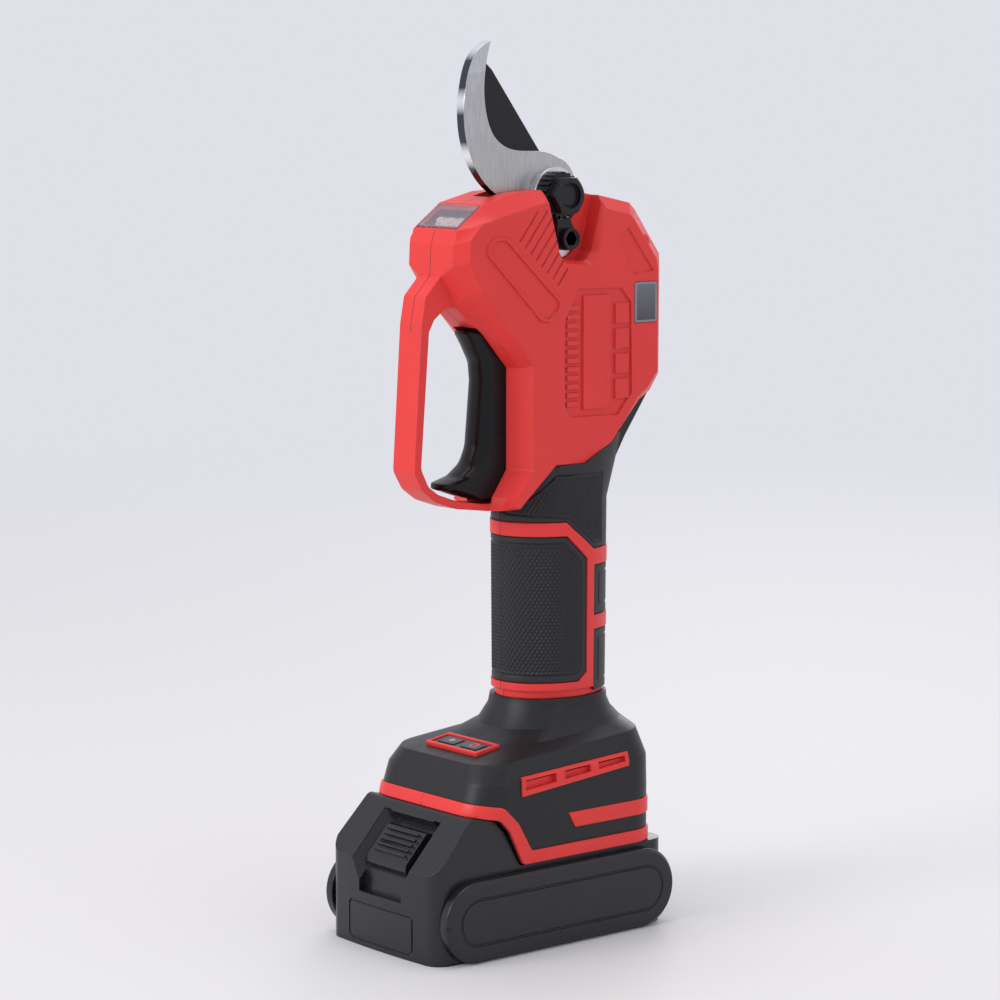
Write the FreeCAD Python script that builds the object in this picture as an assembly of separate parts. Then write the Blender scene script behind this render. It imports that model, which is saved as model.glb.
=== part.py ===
import FreeCAD, Part
import math
import os

# Battery electric pruner. Millimetres, +Z up, origin at the middle of the battery's underside.
# -X is the front, with the finger guard and trigger; +X is the back of the hand; the side
# with the blade nut is -Y. "Left" names the -Y half and "right" the +Y half.

V = FreeCAD.Vector
UP = V(0, 0, 1)
Y_AXIS = V(0, 1, 0)

# ---- driving dimensions ----
GAP = 0.3                    # between pieces that move past each other
WALL = 2.4                   # moulded housings
HEAD_HALF = 18.0             # flat side faces of the head
HEAD_FLAT = 12.8             # half width of its flat front, top and back
SLOT_FACE = 6.8              # half width of the nose below the lamp
STRAP_HALF = 6.5             # guard strap
TRIGGER_HALF = 6.8
GRIP_X = 25.5                # middle of the grip's oval
GRIP_LONG = 23.0             # its half length, front to back
GRIP_WIDE = 18.5             # its half width
GRIP_BOTTOM = 90.0
GRIP_TOP = 182.0
SKIN = 1.2                   # rubber on the grip
FOOT_HALF = 34.0
FOOT_REAR = 53.4
FOOT_CORNER = 13.0
BAND = 4.9                   # red band round the foot
TRIM = 0.7                   # how far red trim stands proud
PACK_FRONT = -57.5
PACK_REAR = 57.5
PACK_HALF = 33.0
PACK_TOP = 32.8
PACK_SEAM = 18.5             # where the battery's two cases meet
PACK_WALL = 2.0
PANEL_HALF = 38.0            # battery's raised side panels
PIVOT = V(22.5, 0, 281.0)    # blade pivot, along Y
BOLT_R = 4.0
BLADE_GAP = 0.1              # each side of the plane where the blades slide
BLADE = 4.1                  # blade thickness
OPENING = math.radians(35)   # moving blade, closed to open
DRIVE_TOP = V(37.6, 2.0, 270.0)    # drive pin, blades closed
DRIVE_FOOT = V(25.0, 2.0, 150.0)   # lower end of the motor
DRIVE_PER_RAD = 20.0         # nut travel per radian of blade
PIN_R = 2.5
SCREW_R = 3.6
TRIGGER_PIVOT = V(-5, 0, 228.5)
TRIGGER_PIN_R = 2.0
LOCK_SCREW = V(23.8, 0, 264.7)
TANG_SCREWS = [(8, 266), (9, 252), (19, 251)]
TANG_HOLE_R = 1.5
FRAME_Y = (8.7, 12.2)        # faces of the steel frame plate
NUT_Y = (-16.2, -11.6, -7.6)       # pivot nut's outer face, shoulder and inner face
LOCK_TEETH = 22
NUT_WELL_R = 11.0            # openings round the nut and the lock plate's foot
LOCK_WELL_R = 7.7
WASHER_R = 10.6
LOCK_PLATE_Y = (-12.6, -8.7)
BOSS_R = 3.6                 # housing screw bosses
SCREW_CLEARANCE_R = 1.7
SCREW_HEAD_WELL_R = 3.1
SCREW_HEAD_SINK = 4          # how deep the screw heads sit
KEYPAD_FRONT = V(-23.2, 0, 73.1)   # lower and upper ends of the sloping keypad's face
KEYPAD_REAR = V(-11.4, 0, 74.9)
KEYPAD_HALF = 15.2
KEYPAD_Y = 6.6               # buttons either side of the middle
BUTTON_HALF = 4.6
BUTTON_SPAN = (0.26, 0.74)   # shares of the keypad's slope that a button covers
LAMP_LOW = V(-29.2, 0, 270.1)      # lower and upper ends of the lamp's sloping face
LAMP_HIGH = V(-18.6, 0, 277.9)
LAMP_HALF = 12.0
LED_Y = (-6, 0, 6)
TERMINALS = [-12, -6, 0, 6, 12]
CELL_R = 9.1
CELL_LENGTH = 65.0
CELL_X = [-39, -19.5, 0, 19.5, 39]
CELL_Z = 2.5 + CELL_R
DOCK_X = (-13, 50.8)         # battery dock inside the foot
DOCK_HALF = 31
RAIL_Z = (34.3, 37.3)
DOCK_ROOF_Z = (42.4, 44.4)


# ---- shape helpers ----
def on_y(y):
    return lambda u, v: V(u, y, v)


def on_z(z):
    return lambda u, v: V(u, v, z)


def on_x(x):
    return lambda u, v: V(x, u, v)


def outline(points, place):
    """Closed wire through corner points; a third value on a point rounds that corner."""
    edges = []
    pins = [V(p[0], p[1], 0) for p in points]
    spans = []
    for i, point in enumerate(points):
        corner = pins[i]
        radius = point[2] if len(point) > 2 else 0
        if not radius:
            spans.append((corner, None, corner))
            continue
        back = (pins[i - 1] - corner).normalize()
        ahead = (pins[(i + 1) % len(pins)] - corner).normalize()
        half = back.getAngle(ahead) / 2
        reach = radius / math.tan(half)
        inward = (back + ahead).normalize()
        middle = corner + inward * (radius / math.sin(half) - radius)
        spans.append((corner + back * reach, middle, corner + ahead * reach))
    for i, (start, middle, end) in enumerate(spans):
        if middle is not None:
            edges.append(Part.Arc(*[place(q.x, q.y) for q in (start, middle, end)]).toShape())
        following = spans[(i + 1) % len(spans)][0]
        if (following - end).Length > 1e-6:
            edges.append(Part.makeLine(place(end.x, end.y), place(following.x, following.y)))
    return Part.Wire(edges)


def plate(points, axis, low, high):
    """Flat solid whose outline lies across the given axis ("x", "y" or "z")."""
    place = {"x": on_x, "y": on_y, "z": on_z}[axis](low)
    along = {"x": V(1, 0, 0), "y": V(0, 1, 0), "z": V(0, 0, 1)}[axis]
    return Part.Face(outline(points, place)).extrude(along * (high - low))


def box(x0, x1, y0, y1, z0, z1):
    return Part.makeBox(x1 - x0, y1 - y0, z1 - z0, V(x0, y0, z0))


def rod(start, end, radius):
    return Part.makeCylinder(radius, (end - start).Length, start, end - start)


def pin_y(x, z, y0, y1, radius):
    return Part.makeCylinder(radius, y1 - y0, V(x, y0, z), Y_AXIS)


def mirror(shape):
    return shape.mirror(V(0, 0, 0), Y_AXIS)


def left_half(shape):
    return shape.common(box(-200, 200, -100, 0, -50, 400))


def right_half(shape):
    return shape.common(box(-200, 200, 0, 100, -50, 400))


def join(first, *others):
    return first.fuse(list(others))


def shrink(points, distance):
    """Polygon moved inwards by a distance, corner by corner; it runs clockwise or not."""
    pins = [V(p[0], p[1], 0) for p in points]
    area = sum(a.x * b.y - b.x * a.y for a, b in zip(pins, pins[1:] + pins[:1]))
    turn = 1 if area > 0 else -1
    moved = []
    for i, pin in enumerate(pins):
        arriving = (pin - pins[i - 1]).normalize()
        leaving = (pins[(i + 1) % len(pins)] - pin).normalize()
        side_a = V(-arriving.y, arriving.x, 0) * turn
        side_b = V(-leaving.y, leaving.x, 0) * turn
        mitre = (side_a + side_b).normalize()
        corner = pin + mitre * (distance / max(mitre.dot(side_a), 0.5))
        moved.append((corner.x, corner.y))
    return moved


def layered(layers):
    """Ruled solid through outlines of equal corner count, given as (y, points)."""
    return Part.makeLoft([outline(points, on_y(y)) for y, points in layers], True, True)


def curve(points, place):
    spline = Part.BSplineCurve()
    spline.interpolate([place(*p) for p in points])
    return spline.toShape()


def line(points, place):
    return [Part.makeLine(place(*a), place(*b)) for a, b in zip(points, points[1:])]


# ---- head outlines: one corner list for the middle, the flats and the side faces ----
HEAD_MIDDLE = [(-32.6, 252.6), (-31.9, 264), (-30, 269.4), (-17.5, 278.7), (-2, 282.5), (10, 283.3),
               (34.6, 281.7), (54.7, 277.5), (57.7, 274.7), (70.3, 257.6), (70.6, 252.6),
               (70.4, 211.3), (65.8, 204.8), (62, 200.5), (48, 186), (36, 177), (14, 174),
               (1, 163.6), (-10, 163.4), (-9, 168.5), (-2, 178.5), (-2, 217), (-13.5, 230),
               (-26, 240.5)]
HEAD_FLATS = [(-32.3, 256), (-31.9, 264), (-30, 269.4), (-17.5, 278.7), (-2, 282.5), (10, 283.3),
              (34.6, 281.7), (54.7, 277.5), (57.7, 274.7), (70.3, 257.6), (70.6, 252.6),
              (70.4, 211.3), (65.8, 204.8), (60.5, 201.5), (47, 187), (34, 178), (14, 178),
              (-2, 163.6), (-8.5, 163.8), (-6, 168.6), (0.5, 178.5), (0.5, 217), (-12, 231),
              (-25, 245)]
HEAD_SIDES = [(-27.8, 258), (-27.5, 266), (-22, 271.5), (-14, 273.5), (0, 276.9), (8, 278.7),
              (36, 276.3), (50.7, 273.2), (53, 271.2), (64.6, 255.6), (65.3, 252),
              (65.2, 212.8), (60.5, 207), (55, 203), (42, 187), (28, 179.5), (14, 180),
              (-4, 164.6), (-7, 165.6), (-3.5, 169.5), (3, 178.5), (3, 218), (-9, 232.5),
              (-22, 247)]


HOLLOW_FLATS = [(-29.6, 257), (-29.4, 263.4), (-28, 268), (-16.7, 276.3), (-1.7, 280), (10, 280.8),
                (34.4, 279.2), (53.5, 275.2), (55.9, 273), (67.9, 256.8), (68.1, 212), (60, 204.3),
                (45.8, 189.2), (33, 180.6), (15, 180.5), (3.4, 171), (3.2, 217.8), (-10.5, 233.2),
                (-23.5, 246.5)]
HOLLOW_SIDES = [(-25.2, 259), (-25, 265), (-20.9, 269.4), (-13.5, 271.2), (0.3, 274.5), (9, 276.2),
                (36, 273.9), (49.5, 271), (51.4, 269.3), (62.3, 254.8), (62.8, 213.6), (54, 205.6),
                (40.8, 189.2), (27.4, 182), (15, 182.4), (7, 176), (5.6, 218.8), (-7.4, 234.6),
                (-20, 249)]


def head_solid():
    """One half of the head's outside, -Y side."""
    return layered([(0, HEAD_MIDDLE), (-SLOT_FACE, HEAD_MIDDLE), (-HEAD_FLAT, HEAD_FLATS),
                    (-HEAD_HALF, HEAD_SIDES)])


def head_hollow():
    """Space inside one half of the head."""
    return layered([(1, HOLLOW_FLATS), (-HEAD_FLAT + 0.9, HOLLOW_FLATS),
                    (-HEAD_HALF + WALL, HOLLOW_SIDES)])


# ---- guard ----
STRAP_OUTER = [(-28, 258), (-32.5, 252.5, 3), (-39.6, 245, 3), (-41.5, 235), (-45.1, 180, 5),
               (-41, 173, 5), (-34.5, 168.4, 9), (-25, 165.3), (-10, 163.3), (0, 163.4)]
STRAP_INNER = [(0, 166), (-12, 166), (-25, 168.2), (-34, 171.4, 4), (-38.6, 174.6, 4),
               (-42.1, 181.5, 5), (-38.2, 232), (-35.8, 236.5, 3), (-30.5, 240.5, 3),
               (-24, 241), (-20, 250)]
GUARD_SPLIT = 232.5          # below this the whole strap belongs to the left housing


def guard_strap(half):
    return plate(STRAP_OUTER + STRAP_INNER, "y", -half, half)


def trigger_slot():
    """Space in the housing where the trigger swings."""
    points = [(-30, 226), (-16.4, 232.4), (-9.5, 238.5), (-1, 238.5), (10, 222), (10, 172), (4, 166.1),
              (-12, 166.1), (-25, 168.4), (-30, 171)]
    return plate(points, "y", -TRIGGER_HALF - GAP, TRIGGER_HALF + GAP)


# ---- blade notch in a side of the head ----
NOTCH = [(9.5, 290), (11.2, 278.5), (16.5, 260.5, 2), (19, 257.2, 2), (30, 256, 3),
         (33.5, 260, 2), (38, 277), (41, 290)]
NOTCH_FLOOR = 8.6            # distance of the notch's floor from the middle plane


def notch_space():
    """Pocket with sloping sides, -Y side."""
    inner = Part.Wire(outline(NOTCH, on_y(-NOTCH_FLOOR)))
    wide = [(8.2, 290), (9.6, 279), (15, 259.5, 2), (18, 255.3, 2), (31, 254, 3), (35.3, 258.6, 2),
            (40, 276.8), (43, 290)]
    straight = Part.Face(inner).extrude(V(0, -(HEAD_HALF - 3 - NOTCH_FLOOR), 0))
    rim = Part.makeLoft([outline(NOTCH, on_y(-HEAD_HALF + 3)), outline(wide, on_y(-HEAD_HALF - 1))],
                        True, True)
    return straight.fuse(rim)


def notch_lining():
    """Wall and floor that close the pocket towards the inside of the head."""
    around = [(6.8, 284), (8.4, 277), (13.8, 258.5), (17, 253.6), (32, 252.2), (36.6, 257.4),
              (41.4, 275.5), (42.5, 284)]
    block = plate(around, "y", -HEAD_HALF + 0.6, -NOTCH_FLOOR + 1.6)
    return block.common(head_solid())


# ---- raised and sunk decoration on a side face, -Y side ----
def plaque_rim():
    wide = [(-19.4, 263.8), (-16.2, 266.6), (-10.6, 266.6), (16.2, 241.8), (15.5, 238), (10.4, 234),
            (6.2, 234.5), (-20, 260.3)]
    inner = shrink(wide, 1.3)
    y0 = -HEAD_HALF - 0.7
    return plate(wide, "y", y0, y0 + 1.2).cut(plate(inner, "y", y0, y0 + 1.2))


def slanted_grooves():
    """Fine grooves between the plaque and the notch."""
    field = [(-8.5, 270.5), (-3, 274.2), (8.6, 276.4), (11.2, 273.5), (15.2, 260.8), (17.6, 256.4),
             (21, 251.5), (16.5, 246), (-8.8, 268.6)]
    region = plate(field, "y", -HEAD_HALF - 1, -HEAD_HALF + 0.5)
    grooves = []
    for i in range(9):
        x = -26 + 4.6 * i
        grooves.append(plate([(x, 238), (x + 1.0, 238), (x + 33, 278), (x + 32, 278)], "y",
                             -HEAD_HALF - 1, -HEAD_HALF + 0.5))
    return region.common(Part.makeCompound(grooves))


SIDE_PANEL = [(25, 246), (46.5, 245.5), (51.5, 240), (52, 205), (45, 197), (21, 197.5),
              (18, 202), (18, 234)]


def side_panel_cut():
    """Sunk field, less the raised block, the rack of ribs and the pads that stand in it."""
    depth = 0.9
    y0, y1 = -HEAD_HALF - 1, -HEAD_HALF + depth
    field = plate(SIDE_PANEL, "y", y0, y1)
    raised = [plate([(27.3, 243.3), (41, 243.3), (41, 200), (27.3, 200)], "y", y0, y1)]
    for i in range(12):
        z = 201.5 + 3.3 * i
        raised.append(box(19.3, 25.3, y0, y1, z, z + 1.9))
    for i in range(4):
        z = 203.2 + 9.6 * i
        raised.append(box(43.6, 50.4, y0, y1, z, z + 7.6))
    return field.cut(raised)


def corner_facet_cut():
    return plate([(45, 264), (50, 268.3), (63, 251.5), (53, 250.3)], "y", -HEAD_HALF - 1,
                 -HEAD_HALF + 0.6)


DISPLAY = (53.2, 64.5, 231.8, 247.3)


def display_hole(grow, y0, y1):
    x0, x1, z0, z1 = DISPLAY
    corners = [(x0 - grow, z0 - grow, 1), (x1 + grow, z0 - grow, 1), (x1 + grow, z1 + grow, 1),
               (x0 - grow, z1 + grow, 1)]
    return plate(corners, "y", y0, y1)


# ---- lamp window in the head's front top facet ----
def lamp_plate(grow, out, inward):
    """Slab that lies in the slanted facet; it is out above and inward below the facet."""
    along = (LAMP_HIGH - LAMP_LOW).normalize()
    normal = V(-along.z, 0, along.x)
    low = LAMP_LOW - along * grow
    high = LAMP_HIGH + along * grow
    corners = [low + normal * out, high + normal * out, high - normal * inward,
               low - normal * inward]
    points = [(c.x, c.z) for c in corners]
    return plate(points, "y", -LAMP_HALF - grow, LAMP_HALF + grow)


# ---- grip ----
def grip_oval(offset, z0, z1):
    """The grip's oval grown by an offset, a little slimmer at its foot."""
    wires = []
    for z, slim in ((z0, 0.6 * (GRIP_TOP - z0) / 100), (z1, 0.6 * (GRIP_TOP - z1) / 100)):
        ring = Part.Ellipse(V(GRIP_X, 0, z), GRIP_LONG + offset - slim, GRIP_WIDE + offset - slim)
        wires.append(Part.Wire(ring.toShape()))
    return Part.makeLoft(wires, True, True)


def grip_zone(points, edge=0.0):
    """Where a side-view outline covers the grip's skin, on the -Y side."""
    grown = shrink(points, -edge) if edge else points
    return plate(grown, "y", -40, 0)


MAIN_PAD = [(-5, 96.2), (24.2, 96.2), (28, 99.4), (28, 143), (18.5, 152.2), (-5, 152.2)]
COLLAR_PAD = [(-5, 158), (18.4, 158), (21.5, 155.2), (32, 146.8), (55, 146.8), (55, 176),
              (14, 176), (-5, 162)]
BACK_PADS = [[(32.6, 121), (55, 121), (55, 140), (32.6, 140)],
             [(32.6, 91.5), (55, 91.5), (55, 115), (32.6, 115)]]


def grip_sleeve(z0, z1, outer, inner=0.0):
    return grip_oval(outer, z0, z1).cut(grip_oval(inner, z0 - 1, z1 + 1))


def grip_core():
    """Red sleeve with the raised frame that the pads sit in, whole."""
    sleeve = grip_sleeve(GRIP_BOTTOM, GRIP_TOP - 4, 0, -WALL)
    frame = grip_sleeve(GRIP_BOTTOM + 3, 160, SKIN + 0.3)
    for pad in [MAIN_PAD, COLLAR_PAD] + BACK_PADS:
        zone = grip_zone(pad, 0.3)
        frame = frame.cut([zone, mirror(zone)])
    plain = plate([(-10, 80), (60, 80), (60, 85), (33.5, 85.5), (28.5, 91), (-10, 91)], "y", -40, 40)
    frame = frame.cut(plain)
    return sleeve.fuse(frame)


def pad(points, z0, z1):
    return grip_sleeve(z0, z1, SKIN).common(grip_zone(points))


def back_pads():
    halves = [pad(zone, 85, 150) for zone in BACK_PADS]
    return Part.makeCompound([half.fuse(mirror(half)) for half in halves])


def collar_solid(offset):
    """Rubber neck that widens from the grip's oval to the head."""
    low = grip_oval(offset, 146, 165)
    slim = 0.6 * (GRIP_TOP - 165) / 100
    ring = Part.Ellipse(V(GRIP_X, 0, 165), GRIP_LONG + offset - slim, GRIP_WIDE + offset - slim)
    top = Part.Ellipse(V(GRIP_X + 5, 0, 192), GRIP_LONG + 4.3 + offset, HEAD_HALF - 0.2 + offset)
    flare = Part.makeLoft([Part.Wire(ring.toShape()), Part.Wire(top.toShape())], True, True)
    return low.fuse(flare)


# ---- foot ----
def foot_section(front, rear, half, corner, z_front, z_rear):
    points = [(front, -half, corner), (rear, -half, corner), (rear, half, corner),
              (front, half, corner)]

    def place(u, v):
        return V(u, v, z_front + (z_rear - z_front) * (u - front) / (rear - front))
    return outline(points, place)


def foot_solid(offset):
    """Foot with its shoulders and the neck that runs up into the grip, grown by an offset."""
    o = offset
    walls = [foot_section(-41 - o, FOOT_REAR + o, FOOT_HALF + o, FOOT_CORNER + o, 33.2, 33.2),
             foot_section(-36.6 - o, FOOT_REAR + o, FOOT_HALF + o, FOOT_CORNER + o, 55, 55),
             foot_section(-33.4 - o, FOOT_REAR + o, FOOT_HALF - 0.4 + o, FOOT_CORNER + o, 65, 66.5),
             foot_section(-30 - o, 50.8 + o, 30.4 + o, FOOT_CORNER + o, 71 + o * 0.6, 77 + o * 0.6)]
    neck = [walls[-1],
            foot_section(-11 - o, 50 + o, 24 + o, 16 + o, 74.6 + o, 80.5 + o),
            foot_section(-3 - o, 49.3 + o, 20.6 + o, 18.2 + o, 79 + o, 84 + o),
            foot_section(1.2 - o, 48.7 + o, 18.9 + o, 18 + o, 86 + o, 87.2 + o),
            foot_section(2.4 - o, 48.5 + o, 18.5 + o, 17.9 + o, 92, 92)]
    body = Part.makeLoft(walls, True, True)
    shoulders = Part.makeLoft(neck, True, True)
    return body.fuse(shoulders)


def foot_region(lift):
    """Side-view region above the foot's lower edge, raised along it by lift."""
    slope = [(-16 + 0.86 * lift, 33.2 + lift, 2), (-22.3 + 0.8 * lift, 46.5 + 0.6 * lift, 4),
             (-27 + 0.35 * lift, 51.6 + 0.95 * lift, 5), (-50, 55 + lift)]
    return plate([(70, 33.2 + lift)] + slope + [(-50, 120), (70, 120)], "y", -60, 60)


VENT = [(-16.4, 59.2), (36.9, 63.9), (36.9, 69.3), (-16.4, 66.4)]
VENT_DEPTH = 1.5             # windows sunk into the foot's wall
SIDE_STRIPE = [(9.8, 43.9), (70, 43.9), (70, 49.9), (6.4, 49.9)]


def vent_strip(x0, x1, above_sill, below_head):
    """Slanting strip between two places along the vent, trimmed from its lower and upper edge."""
    length = VENT[1][0] - VENT[0][0]
    shares = [(x - VENT[0][0]) / length for x in (x0, x1)]
    sill = [VENT[0][1] + (VENT[1][1] - VENT[0][1]) * share + above_sill for share in shares]
    head = [VENT[3][1] + (VENT[2][1] - VENT[3][1]) * share - below_head for share in shares]
    return [(x0, sill[0]), (x1, sill[1]), (x1, head[1]), (x0, head[0])]


def vent_core():
    """Part of the vent that goes right through the foot's wall."""
    return plate(vent_strip(VENT[0][0] + 0.9, VENT[1][0] - 0.9, 1.0, 0.8), "y", -60, -20)


def vent_windows():
    """Three sunk windows, each with an air slit under its upper edge."""
    pockets, slits = [], []
    for x0, x1 in ((-14.8, 0.4), (4.6, 17.6), (21.6, 35.2)):
        pockets.append(plate(vent_strip(x0, x1, 2, 1.3), "y", -60, -20))
        sill = vent_strip(x0, x1, 0, 2.3)
        head = vent_strip(x0, x1, 0, 1.3)
        slits.append(plate([sill[3], sill[2], head[2], head[3]], "y", -60, -20))
    return Part.makeCompound(pockets).cut(foot_solid(-VENT_DEPTH)), slits


def keypad_slab(grow, out, inward, y0=None, y1=None, start=0.0, stop=1.0):
    """Slab lying in the sloping keypad plane; start and stop cut it short along its slope."""
    along = KEYPAD_REAR - KEYPAD_FRONT
    length = along.Length
    along.normalize()
    normal = V(-along.z, 0, along.x)
    low = KEYPAD_FRONT + along * (length * start - grow)
    high = KEYPAD_FRONT + along * (length * stop + grow)
    corners = [low - normal * inward, high - normal * inward, high + normal * out,
               low + normal * out]
    y0 = -KEYPAD_HALF if y0 is None else y0
    y1 = KEYPAD_HALF if y1 is None else y1
    return plate([(c.x, c.z) for c in corners], "y", y0 - grow, y1 + grow)


# ---- drive line ----
def drive_point(distance):
    """Point on the slanting drive axis, a distance below the drive pin's closed place."""
    along = (DRIVE_FOOT - DRIVE_TOP).normalize()
    return DRIVE_TOP + along * distance


def drive_rod(start, stop, radius):
    return rod(drive_point(start), drive_point(stop), radius)


def cam_slot(clearance):
    """Slot in the blade's tail: the pin's path seen from the turning blade."""
    along = (DRIVE_FOOT - DRIVE_TOP).normalize()
    steps = 9
    path = []
    for i in range(-1, steps + 1):
        angle = OPENING * i / (steps - 1)
        seen = DRIVE_TOP + along * (DRIVE_PER_RAD * angle) - PIVOT
        path.append(V(seen.x * math.cos(angle) - seen.z * math.sin(angle), 0,
                      seen.x * math.sin(angle) + seen.z * math.cos(angle)))
    width = PIN_R + clearance
    sides = [[], []]
    for i in range(1, len(path) - 1):
        heading = (path[i + 1] - path[i - 1]).normalize()
        normal = V(-heading.z, 0, heading.x) * width
        sides[0].append(PIVOT + path[i] + normal)
        sides[1].append(PIVOT + path[i] - normal)
    ends = []
    for i, step in ((1, -1), (len(path) - 2, 1)):
        heading = (path[i + step] - path[i]).normalize()
        ends.append(PIVOT + path[i] + heading * width)
    low = Part.BSplineCurve()
    low.interpolate(sides[0])
    high = Part.BSplineCurve()
    high.interpolate(sides[1][::-1])
    far = Part.Arc(sides[0][-1], ends[1], sides[1][-1])
    near = Part.Arc(sides[1][0], ends[0], sides[0][0])
    wire = Part.Wire([low.toShape(), far.toShape(), high.toShape(), near.toShape()])
    return Part.Face(wire).extrude(V(0, 60, 0)).translated(V(0, -30, 0))


# ---- housing nodes ----
def screw_posts():
    """Where the housing screws run, from the right side into bosses on the left."""
    return [(-24, 262), (58, 262), (60, 217), (14, 239), (12, 184)]


def screw_bosses():
    return [pin_y(x, z, -HEAD_HALF + 1, -1, BOSS_R) for x, z in screw_posts()]


def carve_head(shell):
    """Cuts shared by both halves: trim, lamp, blade slot, trigger pin and the way to the grip."""
    shell = shell.cut([slanted_grooves(), corner_facet_cut(), side_panel_cut()])
    shell = shell.fuse(plaque_rim())
    blade_slot = box(-8.2, 47, -5, 6, 262, 300)
    trigger_pin = pin_y(TRIGGER_PIVOT.x, TRIGGER_PIVOT.z, -12.6, 12.6, TRIGGER_PIN_R)
    neck = grip_oval(-WALL, 100, 215).common(box(-50, 100, -15.4, 15.4, 0, 190))
    return shell.cut([trigger_slot(), lamp_plate(0.15, 3, 1.6), lamp_plate(-1.6, 3, 6), blade_slot,
                      trigger_pin, neck])


def pin_bosses():
    """Pads on the slot's cheeks that hold the trigger's pin, -Y side."""
    return pin_y(TRIGGER_PIVOT.x, TRIGGER_PIVOT.z, -12.4, -TRIGGER_HALF - GAP, 4.2)


def left_housing():
    shell = head_solid().cut(head_hollow())
    shell = shell.fuse([notch_lining(), pin_bosses()])
    shell = shell.cut([notch_space(), pin_y(PIVOT.x, PIVOT.z, -30, 30, NUT_WELL_R),
                       pin_y(LOCK_SCREW.x, LOCK_SCREW.z, -30, 30, LOCK_WELL_R)])
    shell = carve_head(shell).fuse(screw_bosses())
    shell = shell.cut([display_hole(0.15, -30, -HEAD_HALF + 1.7), display_hole(-1.2, -30, -10)])
    strap = guard_strap(STRAP_HALF)
    upper = strap.common(box(-100, 50, -20, 0, GUARD_SPLIT, 300))
    lower = strap.common(box(-100, 50, -20, 20, 100, GUARD_SPLIT))
    shell = join(shell, left_half(grip_core()), upper, lower)
    holes = [pin_y(x, z, -HEAD_HALF + 4, 5, 1.25) for x, z in screw_posts()]
    return shell.cut([trigger_slot()] + holes)


def right_housing():
    bolt_well = pin_y(PIVOT.x, PIVOT.z, -HEAD_HALF + 0.5, -13, 11)
    shell = head_solid().cut(head_hollow())
    shell = shell.fuse([bolt_well.common(head_solid()), pin_bosses()])
    shell = shell.cut(pin_y(PIVOT.x, PIVOT.z, -30, 30, 8.6))
    shell = mirror(carve_head(shell).fuse(screw_bosses()))
    shell = shell.cut(box(4, 38, 0, FRAME_Y[1] + 0.4, 272, 300))
    upper = guard_strap(STRAP_HALF).common(box(-100, 50, 0, 20, GUARD_SPLIT, 300))
    shell = join(shell, right_half(grip_core()), upper)
    lower = guard_strap(STRAP_HALF + 0.1).common(box(-100, 2, -20, 20, 100, GUARD_SPLIT))
    holes = []
    for x, z in screw_posts():
        holes.append(pin_y(x, z, -5, 30, SCREW_CLEARANCE_R))
        holes.append(pin_y(x, z, HEAD_HALF - SCREW_HEAD_SINK, 30, SCREW_HEAD_WELL_R))
    return shell.cut([trigger_slot(), lower] + holes)


def cross_recess(x, z, y0, y1, size):
    """Cross for a screwdriver, along Y."""
    wide, thin = size / 2, size / 8
    return box(x - wide, x + wide, y0, y1, z - thin, z + thin).fuse(
        box(x - thin, x + thin, y0, y1, z - wide, z + wide))


def housing_screws():
    screws = []
    for x, z in screw_posts():
        seat = HEAD_HALF - SCREW_HEAD_SINK
        head = pin_y(x, z, seat, seat + 2.2, SCREW_HEAD_WELL_R - 0.2)
        shank = pin_y(x, z, -HEAD_HALF + 5, seat, 1.2)
        screws.append(head.cut(cross_recess(x, z, HEAD_HALF - 3, HEAD_HALF, 4)).fuse(shank))
    return Part.makeCompound(screws)


def left_collar():
    """Rubber neck under the head and its tongue up the back, -Y side."""
    whole = collar_solid(SKIN).cut([collar_solid(0), grip_oval(0.08, 140, 195)])
    zone = [(-20, 158), (18.4, 158), (21.5, 155.2), (32, 146.8), (60, 146.8), (60, 190),
            (44.2, 190), (41.8, 187.1), (27.8, 179.6), (-20, 179.6)]
    neck = whole.common(plate(zone, "y", -60, 0))
    tongue = layered([(0, [(42, 175), (50.5, 175), (57, 187), (70, 204.5), (66, 207)]),
                      (-12, [(41, 175), (46, 175), (54, 188), (65.5, 204), (62, 207)])])
    tongue = tongue.cut([collar_solid(0), grip_oval(0, 140, 190)])
    return neck.fuse(tongue).cut(head_solid())


# ---- foot nodes ----
def foot_skin(out, inward):
    return foot_solid(out).cut(foot_solid(-inward))


def left_foot():
    shell = foot_skin(0, WALL).common(foot_region(0))
    shell = shell.common(box(-100, 100, -60, 0, 0, GRIP_BOTTOM - 0.1))
    skin = foot_skin(2, 0.8)
    band = skin.common(foot_region(0)).cut(foot_region(BAND))
    trims = [band, skin.common(plate(VENT, "y", -60, -10)), skin.common(side_stripe_zone())]
    return shell.cut(trims + [vent_core(), keypad_slab(0.15, 3, 1.7), keypad_slab(-2, 3, 8)])


def side_stripe_zone():
    return plate(SIDE_STRIPE, "y", -60, -14)


def left_foot_trim():
    """Red band along the foot's lower edge, and the stripe above it."""
    band = left_half(foot_skin(TRIM, 0.8).common(foot_region(0)))
    stripe = foot_skin(TRIM - 0.2, 0.8).common(side_stripe_zone())
    return Part.makeCompound([band.cut(foot_region(BAND)), stripe])


def left_vent_frame():
    flange = foot_skin(TRIM, 0.8).common(plate(VENT, "y", -60, -10))
    pockets, slits = vent_windows()
    return flange.fuse(foot_skin(0, WALL).common(vent_core())).cut([pockets] + slits)


def keypad_frame():
    return keypad_slab(0, 0.7, 1.6).cut(keypad_slab(-1.3, 2, 3))


def keypad_button(y):
    """Cap that stands in the keypad plate, with a stem towards its switch."""
    cap = keypad_slab(0, 0.5, 1.6, y - BUTTON_HALF, y + BUTTON_HALF, *BUTTON_SPAN)
    flange = keypad_slab(0, -1.5, 2.2, y - 5.2, y + 5.2, 0.21, 0.79)
    return cap.fuse(flange)


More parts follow.
